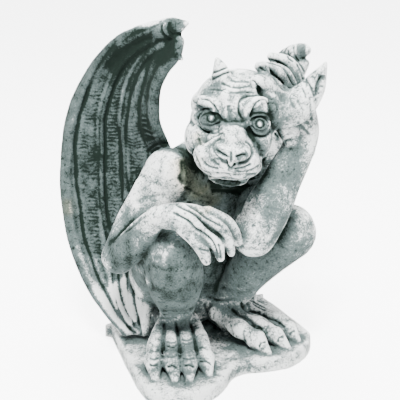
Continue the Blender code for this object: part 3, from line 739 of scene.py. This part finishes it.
FEET_STROKES = [
    (1.0, -1.3, [(157.1, 313.6), (167.1, 315.3), (178.6, 314.9), (189.4, 313.1)]),
    (0.9, -0.9, [(159.2, 317.4), (168.4, 318.6), (177.6, 318.1)]),
    (1.0, -0.7, [(156.9, 310.6), (169.6, 312.2), (186.9, 311.1)]),
    (1.4, -1.4, [(163.6, 322.3), (164.4, 331.2), (163.3, 341.4), (163.3, 351.6), (162.8, 359.3)]),
    (1.4, -1.4, [(175.5, 321.0), (176.8, 329.9), (178.6, 338.9), (179.8, 349.1), (179.8, 359.3)]),
    (1.4, -1.4, [(189.4, 319.7), (192.0, 328.7), (194.5, 338.9), (196.4, 349.1), (198.0, 359.3)]),
    (0.9, -0.9, [(149.6, 349.7), (155.0, 351.4), (159.7, 349.3)]),
    (0.9, -0.8, [(149.2, 357.8), (153.7, 359.3), (158.7, 358.0)]),
    (0.9, -0.9, [(165.8, 345.3), (171.6, 346.8), (177.6, 345.3)]),
    (0.9, -0.6, [(166.1, 341.4), (171.6, 342.7), (177.0, 341.4)]),
    (0.9, -0.8, [(165.6, 355.5), (170.9, 357.0), (177.0, 355.2)]),
    (0.9, -0.9, [(180.9, 338.9), (186.5, 340.4), (192.3, 338.4)]),
    (0.9, -0.6, [(181.6, 342.7), (187.0, 344.0), (192.6, 342.2)]),
    (0.9, -0.8, [(182.1, 357.8), (188.8, 359.3), (194.9, 357.8)]),
    (0.9, -0.9, [(198.7, 347.8), (203.4, 346.8), (208.5, 349.7)]),
    (0.9, -0.8, [(199.5, 358.0), (204.3, 359.3), (209.7, 358.5)]),
    (1.0, -1.5, [(149.0, 364.1), (153.7, 365.4), (158.7, 364.1)]),
    (1.0, -1.5, [(166.5, 367.2), (172.4, 365.4), (177.6, 368.0)]),
    (1.0, -1.5, [(183.0, 365.9), (189.4, 364.6), (194.8, 367.4)]),
    (1.0, -1.5, [(200.0, 361.6), (206.4, 361.1), (212.0, 364.9)]),
    (1.0, -1.7, [(258.7, 347.3), (261.2, 343.6), (266.3, 341.4)]),
    (1.0, -1.6, [(277.4, 342.2), (279.7, 338.1), (283.7, 336.1)]),
    (1.0, -1.5, [(289.3, 335.7), (291.5, 332.5), (295.2, 330.5)]),
    (1.2, -1.1, [(230.4, 324.2), (231.1, 330.6), (233.4, 335.7)]),
    (1.1, -0.9, [(244.9, 329.9), (243.9, 336.3), (245.9, 342.7)]),
    (0.9, -0.6, [(250.6, 331.2), (250.0, 336.3), (251.3, 341.4)]),
    (1.1, -0.9, [(269.1, 324.8), (265.9, 329.9), (266.6, 333.8)]),
    (1.5, -2.4, [(230.9, 308.9), (237.2, 314.0), (247.4, 320.0), (254.5, 325.6), (264.0, 329.9)]),
    (1.5, -2.4, [(240.4, 302.5), (244.9, 308.3), (252.6, 312.1), (260.5, 313.6)]),
    (1.5, -2.2, [(262.1, 314.6), (267.9, 319.1), (278.1, 322.6), (283.8, 328.0)]),
    (1.3, -1.6, [(252.6, 301.9), (258.9, 306.7), (265.9, 309.8)]),
    (2.0, -1.3, [(221.9, 286.6), (230.9, 291.7), (243.6, 293.7), (252.6, 291.9)]),
    (1.2, -1.1, [(213.0, 299.6), (221.9, 301.4), (233.4, 300.6), (244.9, 299.3)]),
    (1.0, -0.8, [(204.1, 303.4), (206.6, 310.8), (210.2, 314.6)]),
    (1.0, -0.7, [(214.3, 312.1), (213.0, 318.7)]),
]
WING_STROKES = [
    (0.9, 0.8, [(140.4, 80.8), (137.5, 86.6), (136.3, 93.3), (135.6, 100.9)]),
    (1.0, -1.7, [(169.1, 22.4), (168.1, 29.1), (169.8, 32.5), (174.1, 34.4)]),
    (1.0, -1.7, [(162.0, 23.4), (161.0, 29.1), (165.0, 36.0), (172.9, 39.9)]),
    (0.9, -0.8, [(135.9, 32.5), (145.0, 29.6), (153.6, 26.3), (159.8, 23.9)]),
    (0.9, -0.6, [(122.0, 41.6), (131.6, 35.4), (141.1, 31.5)]),
    (0.9, 1.1, [(141.6, 117.9), (148.3, 118.3)]),
    (0.9, 1.1, [(141.6, 121.8), (147.6, 122.9)]),
    (0.9, 1.2, [(142.6, 126.3), (149.3, 129.1), (155.0, 130.8)]),
    (0.9, 1.2, [(144.8, 132.0), (151.7, 134.4), (156.9, 136.8)]),
    (0.9, 1.2, [(146.4, 143.5), (152.6, 140.6), (158.8, 138.7)]),
    (1.0, -1.8, [(146.9, 152.6), (151.7, 147.3), (158.3, 144.0), (169.8, 144.0)]),
    (1.0, -1.2, [(150.7, 153.5), (156.4, 148.8), (163.1, 147.0), (170.8, 147.3)]),
]
WING_RIM_EDGE = [(112.4, 47.3), (104.8, 55.9), (97.1, 67.4), (90.4, 80.8), (86.6, 91.3), (82.8, 103.8),
    (78.9, 115.3), (77.0, 126.7), (74.6, 139.2), (73.7, 151.6), (74.8, 157.7), (75.4, 181.9), (79.2,
    206.1), (82.4, 234.2), (89.4, 255.9), (97.1, 277.6), (106.0, 294.1), (114.9, 312.0), (126.4, 326.0),
    (136.6, 334.9)]
FIRST_RIB = [(144.0, 45.4), (134.4, 51.1), (125.8, 59.8), (118.2, 72.2), (112.4, 84.6), (108.6, 96.1),
    (104.8, 109.5), (102.4, 122.0), (102.4, 145.9), (101.9, 157.7), (101.6, 175.5), (102.8, 201.0),
    (106.0, 221.4), (109.2, 236.7), (114, 262), (118.8, 300), (128, 320), (137, 333)]
SECOND_RIB = [(150.7, 51.1), (143.0, 61.7), (136.3, 72.2), (131.6, 84.6), (127.7, 96.1), (125.8, 109.5),
    (123.4, 126.7), (122.9, 144.0), (123.0, 157.7), (123.9, 175.5), (125.8, 192.1), (128, 230), (129,
    262), (131.5, 300), (135, 318), (138.5, 333)]
ARM_EDGE = [(155.5, 55.0), (149.7, 63.6), (145.0, 80.8), (140.2, 100.9), (139.2, 115.3), (141.1, 129.6),
    (145.9, 144.0), (148.8, 151.6), (152, 200), (150, 262), (142, 300), (141, 318), (141.7, 333)]


def wing_relief(place, wrinkled):
    """Rolled panels between the rim, two ribs and the arm: a low arch across each panel, a narrow
    ridge on each rib with a groove on both sides, and cross wrinkles that follow the rows."""
    column, row = place.T
    lines, slopes = [], []
    for line in (WING_RIM_EDGE, FIRST_RIB, SECOND_RIB, ARM_EDGE):
        knots = through(line, 6)
        lines.append(np.interp(row, knots[:, 1], knots[:, 0]))
        lower, upper = (np.interp(row + step, knots[:, 1], knots[:, 0]) for step in (3, -3))
        lean = (lower - upper) / 6
        slopes.append(1 / np.sqrt(1 + lean ** 2))
    height = np.zeros(len(place))
    fade_top = np.clip((row - 44) / 14, 0, 1)
    for number in (1, 2):
        off = np.abs(column - lines[number]) * slopes[number]
        height += fade_top * (RIB_HEIGHT * np.exp(-(off / 1.3) ** 2)
                              - RIB_GROOVE * np.exp(-((off - 3.0) / 1.2) ** 2))
    rim_off = (column - lines[0]) * slopes[0]
    height -= RIM_GROOVE * np.exp(-((rim_off - 1.2) / 1.8) ** 2)
    arm_off = (column - lines[3]) * slopes[3]
    height -= 0.8 * RIM_GROOVE * fade_top * np.exp(-((arm_off + 1.0) / 1.7) ** 2) * (row < 160)
    rough = lumps(place, 7.0, 3)
    fine = lumps(place, 2.6, 4)
    for left, right in zip(lines, lines[1:]):
        gap = np.maximum(right - left, 0.1)
        share = np.clip((column - left) / gap, 0, 1)
        arch = 1 - (2 * share - 1) ** 2
        inside = arch ** 0.6 * np.clip(gap / 12, 0, 1)
        height += PANEL_ARCH * inside * np.clip((270 - row) / 30, 0.3, 1)
        if wrinkled:
            phase = row / WRINKLE_PITCH + 0.5 * rough + 0.22 * fine + 0.35 * (2 * share - 1) ** 2
            groove = np.abs(np.cos(math.pi * phase)) ** 4
            strength = np.clip((row - 66) / 40, 0, 1) * np.clip((282 - row) / 25, 0.12, 1)
            height -= WRINKLE_DEPTH * inside * strength * groove * (0.75 + 0.5 * rough)
            height += 0.22 * inside * fine
    return height


WRINKLE_PITCH = 3.3
WRINKLE_DEPTH = 0.9
PANEL_ARCH = 1.4
RIB_HEIGHT = 0.7
RIB_GROOVE = 1.3
RIM_GROOVE = 1.7

# Eyes, knees and muscles: centre, radius of the ring (0 for a dome), half width, height.
ROUNDS = [
    ((211.4, 118.3), 0.0, 2.1, 1.2), ((211.4, 118.3), 4.2, 1.0, -1.3),
    ((259.9, 123.9), 0.0, 2.3, 1.3), ((259.9, 123.9), 4.3, 1.1, -1.5),
    ((259.9, 123.9), 6.2, 0.9, 0.5), ((259.9, 123.9), 7.6, 0.9, -0.8),
    ((172.0, 250.0), 0.0, 12.0, 3.2), ((170.0, 281.0), 0.0, 15.0, 2.0), ((193.0, 273.0), 0.0, 9.0, 1.6),
    ((297.0, 226.0), 0.0, 12.0, 2.0), ((235.0, 277.0), 0.0, 14.0, 1.5), ((252.0, 232.0), 0.0, 10.0, 1.6),
]
BODY_STROKES = [
    (1.8, -3.6, [(257, 87), (262, 94), (269, 103), (271, 116), (273, 127), (280, 137)]),
    (5.0, 2.2, [(266, 92), (276, 104), (278, 120), (286, 134)]),
    (2.4, -1.8, [(152, 262), (158, 268), (170, 269), (180, 264)]),
    (1.6, -1.4, [(157, 308), (168, 312), (182, 312), (194, 308)]),
    (2.2, -1.6, [(150, 258), (149, 275), (153, 292)]),
    (3.5, 2.4, [(141, 176), (128, 197), (119, 219), (113, 241)]),
    (2.2, -1.4, [(135, 215), (128, 230), (124, 246)]),
    (1.6, -1.2, [(233, 236), (240, 246), (250, 250), (262, 249)]),
    (2.6, -1.8, [(268, 246), (275, 238), (284, 228), (290, 216)]),
    (1.8, -1.4, [(206, 296), (214, 300), (228, 300), (240, 296)]),
    (2.0, -1.2, [(222, 262), (226, 276), (222, 290)]),
    (3.0, 1.6, [(262, 190), (268, 172), (281, 152), (296, 140)]),
    (1.6, -1.2, [(178, 176), (184, 186), (192, 192)]),
    (1.6, -1.4, [(186, 188), (200, 196), (214, 198), (226, 194)]),
]


def rounds_on(place, rounds):
    """Height of domes and rings: a bell profile across the circle of the given radius."""
    height = np.zeros(len(place))
    for centre, radius, half_width, amount in rounds:
        off = np.linalg.norm(place - centre, axis=1) - radius
        height += amount * np.exp(-(off / half_width) ** 2)
    return height


STROKE_GAIN = 1.5
fine_strokes = FACE_STROKES + LEFT_HAND_STROKES + RIGHT_ARM_STROKES + FEET_STROKES + WING_STROKES
height = view * (STROKE_GAIN * strokes_on(place, fine_strokes)
                 + strokes_on(place, BODY_STROKES) + rounds_on(place, ROUNDS))
leaf_front = on_wing(points)
height[leaf_front] += view[leaf_front] * wing_relief(place[leaf_front], True)
leaf_back = leaf_front & (view == 0)
height[leaf_back] += 0.45 * wing_relief(place[leaf_back], False)
twin_normals = -normals_of(twin, faces)
twin_place, _ = on_frame(twin)
twin_view = toward_eye(twin, twin_normals)
hidden_wing = left_wing_point & (view < 0.01)
height[hidden_wing] += twin_view[hidden_wing] * (
    wing_relief(twin_place[hidden_wing], True) + strokes_on(twin_place[hidden_wing], WING_STROKES))
back_wing = hidden_wing & (twin_view == 0)
height[back_wing] += 0.45 * wing_relief(twin_place[back_wing], False)

UNEVEN = ((16.0, 0.45, 11), (6.0, 0.16, 12))
for cell, amount, seed in UNEVEN:
    height += amount * lumps(points, cell, seed)
points = points + normals * height[:, None]
points += 0.25 * (gathered(points, edges) - points)
points[points[:, 2] < CLEAN_FEET, 2] = 0.0


# Weathering and painted shade. Dirt and algae stay in the cuts and under the limbs, and the same
# darkening is painted shade in cuts, creases, hollows and under the limbs; open high spots stay pale.
# The finish follows four measures kept on the points of the block: how deep a point lies in a cut,
# how closed in it is by stone nearby, its dark stain, partly painted shade, and its brown stain.
normals = normals_of(points, faces)
# How deep a point lies below a smoothed copy of the surface: painted shade in cuts and creases, with the
# dirt kept there.
smooth = points.copy()
for _ in range(5):
    smooth += 0.6 * (gathered(smooth, edges) - smooth)
cut_shade_and_dirt = np.maximum(np.sum((smooth - points) * normals, axis=1), -0.05)
for _ in range(4):
    cut_shade_and_dirt = 0.5 * cut_shade_and_dirt + 0.5 * gathered(cut_shade_and_dirt[:, None], edges)[:, 0]

# How closed in a point is: the stone a step out along its normal, read from a blurred grid of surface area.
# It paints occlusion shade into hollows, gaps and the undersides of limbs, along with the dirt that gathers
# there.
OCCLUSION_CELL = 4.0
OCCLUSION_BLUR = 2.2
OCCLUSION_STEP = 11.0
corner_area = np.linalg.norm(np.cross(points[faces[:, 1]] - points[faces[:, 0]],
                                      points[faces[:, 2]] - points[faces[:, 0]]), axis=1) / 6
area = sum(np.bincount(faces[:, k], corner_area, len(points)) for k in range(3))
low = points.min(axis=0) - 40
size = np.ceil((points.max(axis=0) + 40 - low) / OCCLUSION_CELL).astype(int)
cells = ((points - low) / OCCLUSION_CELL).astype(int)
crowd = np.bincount(np.ravel_multi_index(cells.T, size), area, np.prod(size)).reshape(size)
reach = np.arange(-6, 7)
bell = np.exp(-0.5 * (reach / OCCLUSION_BLUR) ** 2)
bell /= bell.sum()
for axis in range(3):
    crowd = sum(weight * np.roll(crowd, shift, axis=axis) for weight, shift in zip(bell, reach))
ahead = (points + normals * OCCLUSION_STEP - low) / OCCLUSION_CELL
occlusion_shade_and_dirt = crowd[tuple(np.clip(ahead.astype(int), 0, size - 1).T)] / OCCLUSION_CELL ** 2
for _ in range(6):
    occlusion_shade_and_dirt = 0.4 * occlusion_shade_and_dirt + 0.6 * gathered(occlusion_shade_and_dirt[:, None], edges)[:, 0]

# Darker eyeballs, partly painted shade from the brows over the sockets, and paler pupils: centre, radius of
# the ring, half width, amount.
EYE_SHADE_AND_PUPIL_MARKS = [
    ((206.5, 119.0), 0.0, 6.0, 0.9), ((215.5, 119.5), 0.0, 4.5, 0.8), ((211.4, 118.3), 0.0, 2.4, -0.6),
    ((260.5, 124.5), 0.0, 7.5, 0.75), ((259.9, 123.9), 0.0, 2.6, -0.5),
]
# Darker claws at the toe tips: half width and amount, and the claws' lines.
CLAW_DARKENING_WIDTH, CLAW_DARKENING = 3.0, 0.3
CLAW_LINES = [
    [(153, 368), (153.5, 373)], [(172.5, 371), (173, 376)], [(189, 370), (189, 375)],
    [(206, 366), (207, 371)], [(262, 345), (264, 349)], [(281, 340), (283, 344)],
    [(294, 334), (296, 337)],
]
# Dark streaks and pale ones (below 0): half width, amount, line. Some dark ones are stains, on the wing and
# its ribs,
# but many are painted shade: in grooves and creases, in the eye sockets and nostrils, under the lip and the
# arms, between the thigh and the trunk, and on the shaded sides of the cheek and the forearms.
STAIN_AND_PAINTED_SHADE_STREAKS = [
    (3.0, 0.7, [(272, 98), (273, 113), (276, 128), (281, 141)]),
    (4.0, 0.25, [(262, 140), (266, 156), (264, 168)]),
    (3.4, 1.0, [(209, 185), (224, 185), (240, 187), (249, 186.5)]),
    (1.6, 0.5, [(219, 120), (230, 121), (243, 122)]),
    (9.0, 0.4, [(104, 66), (118, 53), (136, 44), (156, 42)]),
    (4.5, 0.5, [(168, 26), (184, 22)]),
    (4.5, 0.6, [(177, 38), (179, 50), (174, 58)]),
    (4.0, 0.5, [(164, 26), (176, 24), (172, 40), (170, 54), (160, 66)]),
    (7.0, 0.5, [(296, 50), (306, 50)]),
    (3.0, 0.3, FIRST_RIB),
    (3.0, 0.3, SECOND_RIB),
    (11.0, -0.85, [(114, 282), (124, 300), (136, 322)]),
    (9.0, 0.42, [(155, 350), (173, 352), (190, 350), (205, 348)]),
    (8.0, -0.3, [(166, 248), (174, 250)]),
    *((CLAW_DARKENING_WIDTH, CLAW_DARKENING, line) for line in CLAW_LINES),
    (12.0, 0.22, [(150, 216), (128, 236), (112, 262)]),
    (13.0, 0.25, [(300, 150), (284, 180), (262, 232)]),
    (13.0, 0.18, [(292, 232), (304, 218)]),
    (9.0, 0.16, [(250, 242), (262, 238)]),
    (11.0, 0.16, [(166, 270), (176, 300)]),
    (4.0, 0.6, [(270, 160), (264, 176), (252, 192)]),
    (2.6, 0.5, [(322, 76), (318, 86), (317, 94)]),
    (4.5, 0.35, [(276, 246), (285, 236), (298, 226)]),
    (6.0, 0.25, [(108, 264), (128, 264), (150, 246)]),
    (2.2, 0.5, [(197, 119), (204, 113), (213, 112), (221, 119)]),
    (2.0, 0.5, [(246, 121), (252, 114), (262, 113), (272, 121)]),
    (2.0, 0.5, [(247, 128), (252, 133), (262, 135), (271, 129)]),
    (1.9, -0.3, [(210, 118), (211.4, 118.3), (213, 118.6)]),
    (1.9, -0.5, [(258.5, 123.6), (259.9, 123.9), (261.4, 124.2)]),
    (3.5, 0.35, [(188, 148), (192, 162), (199, 176)]),
    (3.0, 0.4, [(183, 160), (186, 176), (190, 190)]),
    (5.0, 0.3, [(154, 262), (157, 276), (160, 292)]),
    (4.0, 0.3, [(212, 250), (214, 270), (204, 296)]),
    (1.8, 0.45, [(213, 147), (220, 152), (226, 156)]),
    (1.8, 0.45, [(237, 158), (243, 155), (248, 153)]),
]

# Algae grow on the wings' fronts and the legs; the arms and the face stay paler, and the chest is darkened
# as painted shade.
height_up = points[:, 2]
stain = np.zeros(len(points))
leg = ((height_up > 28) & (height_up < 234) & (points[:, 0] > -112)
       & (points[:, 1] < 70) & (points[:, 1] > -92))
left_leg = leg & (points[:, 0] > -5)
stain[leg] = np.interp(height_up[leg], (28, 70, 100, 170, 215, 234),
                       (-0.10, 0.02, 0.52, 0.62, 0.48, 0.28))
stain[left_leg] = np.interp(height_up[left_leg], (28, 70, 100, 150, 190, 234),
                            (-0.10, 0.04, 0.42, 0.50, 0.28, 0.14))
FAR = 1000.0                # beyond the block on any side
REGION_STAINS_AND_CHEST_SHADE = [
    # lowest corner, highest corner, amount: the chest, darkened as painted shade under the head and arms,
    # the left forearm, the right elbow
    ((-53, -75, 205), (43, 5, 330), 0.36),
    ((15, -FAR, 200), (FAR, -45, 330), 0.10),
    ((-FAR, -FAR, 150), (-104, 45, 232), 0.22),
]
for lowest, highest, amount in REGION_STAINS_AND_CHEST_SHADE:
    stain[np.all((points > lowest) & (points < highest), axis=1)] = amount
wing_stain = np.interp(height_up, (60, 120, 180, 380, 450, 500), (-0.1, 0.16, 0.42, 0.50, 0.66, 0.42))
stain[leaf_front] = wing_stain[leaf_front]
stain[hidden_wing] = 0.8 * wing_stain[hidden_wing]
share, off = wing_share(points)
edge_near = (share > 0.78) & (share < 1.5) & (off < 45) & (height_up > 312) & (points[:, 0] < -38)
WING_EDGE_STAIN = 0.72
stain[edge_near & (points[:, 1] > -14)] = WING_EDGE_STAIN
stain[leaf_front & (share < 0.03)] = WING_EDGE_STAIN
for _ in range(8):
    stain = 0.4 * stain + 0.6 * gathered(stain[:, None], edges)[:, 0]
# The streaks and eye marks add stains, and painted shade in creases, sockets, nostrils and under the lip
# and the arms.
stain += view * (strokes_on(place, STAIN_AND_PAINTED_SHADE_STREAKS) + rounds_on(place, EYE_SHADE_AND_PUPIL_MARKS))
# Brown iron stain on the neck, the chest and the wing's outer edge.
WARM_STAINS = [(10.0, 0.9, [(184, 156), (188, 178), (200, 196)]), (10.0, 0.8, [(200, 190), (216, 206)]),
               (5.0, 0.7, [(66, 198), (68, 216)]), (4.0, 0.4, [(196, 132), (200, 146)])]
warm = np.clip(view * strokes_on(place, WARM_STAINS), 0, 1)

# Where the thinning keeps its faces: fully on the carved places, partly elsewhere in view.
KEEP_SEEN, KEEP_TWIN = 0.35, 0.4
keep = np.zeros(len(points))
keep[view > 0.02] = KEEP_SEEN
for left, top, right, bottom in FINE_PLACES:
    keep[(view > 0.02) & np.all((place > (left, top)) & (place < (right, bottom)), axis=1)] = 1.0
keep[leaf_front & (view > 0.02)] = 1.0
keep[hidden_wing & (twin_view > 0)] = KEEP_TWIN

FACE_LIMIT = 196000
KEEP_FACTOR = 0.000002
block_mesh = bpy.data.meshes.new("gargoyle_stone")
block_mesh.vertices.add(len(points))
block_mesh.vertices.foreach_set("co", (points * METRE).astype(np.float32).ravel())
block_mesh.loops.add(faces.size)
block_mesh.loops.foreach_set("vertex_index", faces.astype(np.int32).ravel())
block_mesh.polygons.add(len(faces))
block_mesh.polygons.foreach_set("loop_start", np.arange(0, faces.size, 3, dtype=np.int32))
block_mesh.update(calc_edges=True)
for name, values in (("cut_shade_and_dirt", cut_shade_and_dirt), ("occlusion_shade_and_dirt", occlusion_shade_and_dirt), ("stain", stain), ("warm", warm)):
    layer = block_mesh.attributes.new(name, "FLOAT", "POINT")
    layer.data.foreach_set("value", values.astype(np.float32))
block = bpy.data.objects.new("gargoyle_stone", block_mesh)
bpy.context.scene.collection.objects.link(block)
if len(faces) > FACE_LIMIT:
    free_points = block.vertex_groups.new(name="free")
    for level in (0.0, KEEP_SEEN, KEEP_TWIN, 1.0):
        chosen = np.nonzero(keep == level)[0]
        free_points.add(chosen.tolist(), 1.0 - 0.9 * level, "REPLACE")
    thin = block.modifiers.new("thin", "DECIMATE")
    thin.ratio = FACE_LIMIT / len(faces)
    thin.vertex_group = "free"
    thin.vertex_group_factor = KEEP_FACTOR
    bpy.context.view_layer.update()
    thinned = bpy.data.meshes.new_from_object(block.evaluated_get(bpy.context.evaluated_depsgraph_get()))
    block.modifiers.clear()
    block.data = thinned
    bpy.data.meshes.remove(block_mesh)
    thinned.name = "gargoyle_stone"
block.data.shade_smooth()

PALE = (0.76, 0.78, 0.76, 1.0)
MIDDLE = (0.105, 0.138, 0.134, 1.0)
DARK = (0.004, 0.010, 0.007, 1.0)
stone = bpy.data.materials.new("cast_stone")
stone.use_nodes = True
nodes, links = stone.node_tree.nodes, stone.node_tree.links
shader = nodes["Principled BSDF"]


def node(kind, **settings):
    """A new node with its settings and socket values."""
    made = nodes.new(kind)
    for key, value in settings.items():
        if key.startswith("in_"):
            made.inputs[key[3:].replace("_", " ")].default_value = value
        else:
            setattr(made, key, value)
    return made


coordinates = node("ShaderNodeTexCoord")
cut_shade_and_dirt_value = node("ShaderNodeAttribute", attribute_name="cut_shade_and_dirt")
occlusion_shade_and_dirt_value = node("ShaderNodeAttribute", attribute_name="occlusion_shade_and_dirt")
stain_value = node("ShaderNodeAttribute", attribute_name="stain")
blotch = node("ShaderNodeTexNoise", in_Scale=38.0, in_Detail=5.0, in_Roughness=0.62)
grain = node("ShaderNodeTexNoise", in_Scale=420.0, in_Detail=4.0, in_Roughness=0.7)
specks = node("ShaderNodeTexNoise", in_Scale=170.0, in_Detail=3.0, in_Roughness=0.6)
for texture in (blotch, grain, specks):
    links.new(coordinates.outputs["Object"], texture.inputs["Vector"])


def mixed_sum(terms, offset):
    """The offset plus each output times its factor."""
    total = None
    for output, factor in terms:
        part = node("ShaderNodeMath", operation="MULTIPLY_ADD")
        links.new(output, part.inputs[0])
        part.inputs[1].default_value = factor
        if total is None:
            part.inputs[2].default_value = offset
        else:
            links.new(total, part.inputs[2])
        total = part.outputs[0]
    return total


speck_edge = node("ShaderNodeMapRange")
speck_edge.inputs["From Min"].default_value = 0.56
speck_edge.inputs["From Max"].default_value = 0.72
links.new(specks.outputs["Fac"], speck_edge.inputs["Value"])
CUT_SHADE_AND_DIRT_WEIGHT = 2.77
OCCLUSION_SHADE_AND_DIRT_WEIGHT = 1.44
STAIN_AND_SHADE_WEIGHT = 0.9
BLOTCH_WEIGHT = 1.25
GRAIN_WEIGHT = 1.05
SPECK_WEIGHT = 0.4
CLEAN_START = -1.065        # keeps open stone pale in spite of blotches and grain
# How dark the stone is: dirt and algae, together with painted shade from the cut, closed-in and stain
# measures, broken by blotches, grain and specks.
dirt_and_painted_shade = mixed_sum([
    (cut_shade_and_dirt_value.outputs["Fac"], CUT_SHADE_AND_DIRT_WEIGHT), (occlusion_shade_and_dirt_value.outputs["Fac"], OCCLUSION_SHADE_AND_DIRT_WEIGHT),
    (stain_value.outputs["Fac"], STAIN_AND_SHADE_WEIGHT), (blotch.outputs["Fac"], BLOTCH_WEIGHT),
    (grain.outputs["Fac"], GRAIN_WEIGHT), (speck_edge.outputs["Result"], SPECK_WEIGHT)], CLEAN_START)
tone = node("ShaderNodeValToRGB")
tone.color_ramp.elements[0].position = 0.03
tone.color_ramp.elements[0].color = PALE
tone.color_ramp.elements[1].position = 1.0
tone.color_ramp.elements[1].color = DARK
middle = tone.color_ramp.elements.new(0.33)
middle.color = MIDDLE
links.new(dirt_and_painted_shade, tone.inputs["Fac"])
warm_value = node("ShaderNodeAttribute", attribute_name="warm")
rust = node("ShaderNodeMix", data_type="RGBA", blend_type="MULTIPLY")
rust.inputs[7].default_value = (1.0, 0.84, 0.62, 1.0)
links.new(warm_value.outputs["Fac"], rust.inputs[0])
links.new(tone.outputs["Color"], rust.inputs[6])
links.new(rust.outputs[2], shader.inputs["Base Color"])
shader.inputs["Roughness"].default_value = 0.9
shader.inputs["Specular IOR Level"].default_value = 0.15
pits = node("ShaderNodeBump", in_Strength=0.35, in_Distance=0.0006)
links.new(grain.outputs["Fac"], pits.inputs["Height"])
links.new(pits.outputs["Normal"], shader.inputs["Normal"])
block.data.materials.append(stone)
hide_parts("gargoyle")
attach(block, "root")
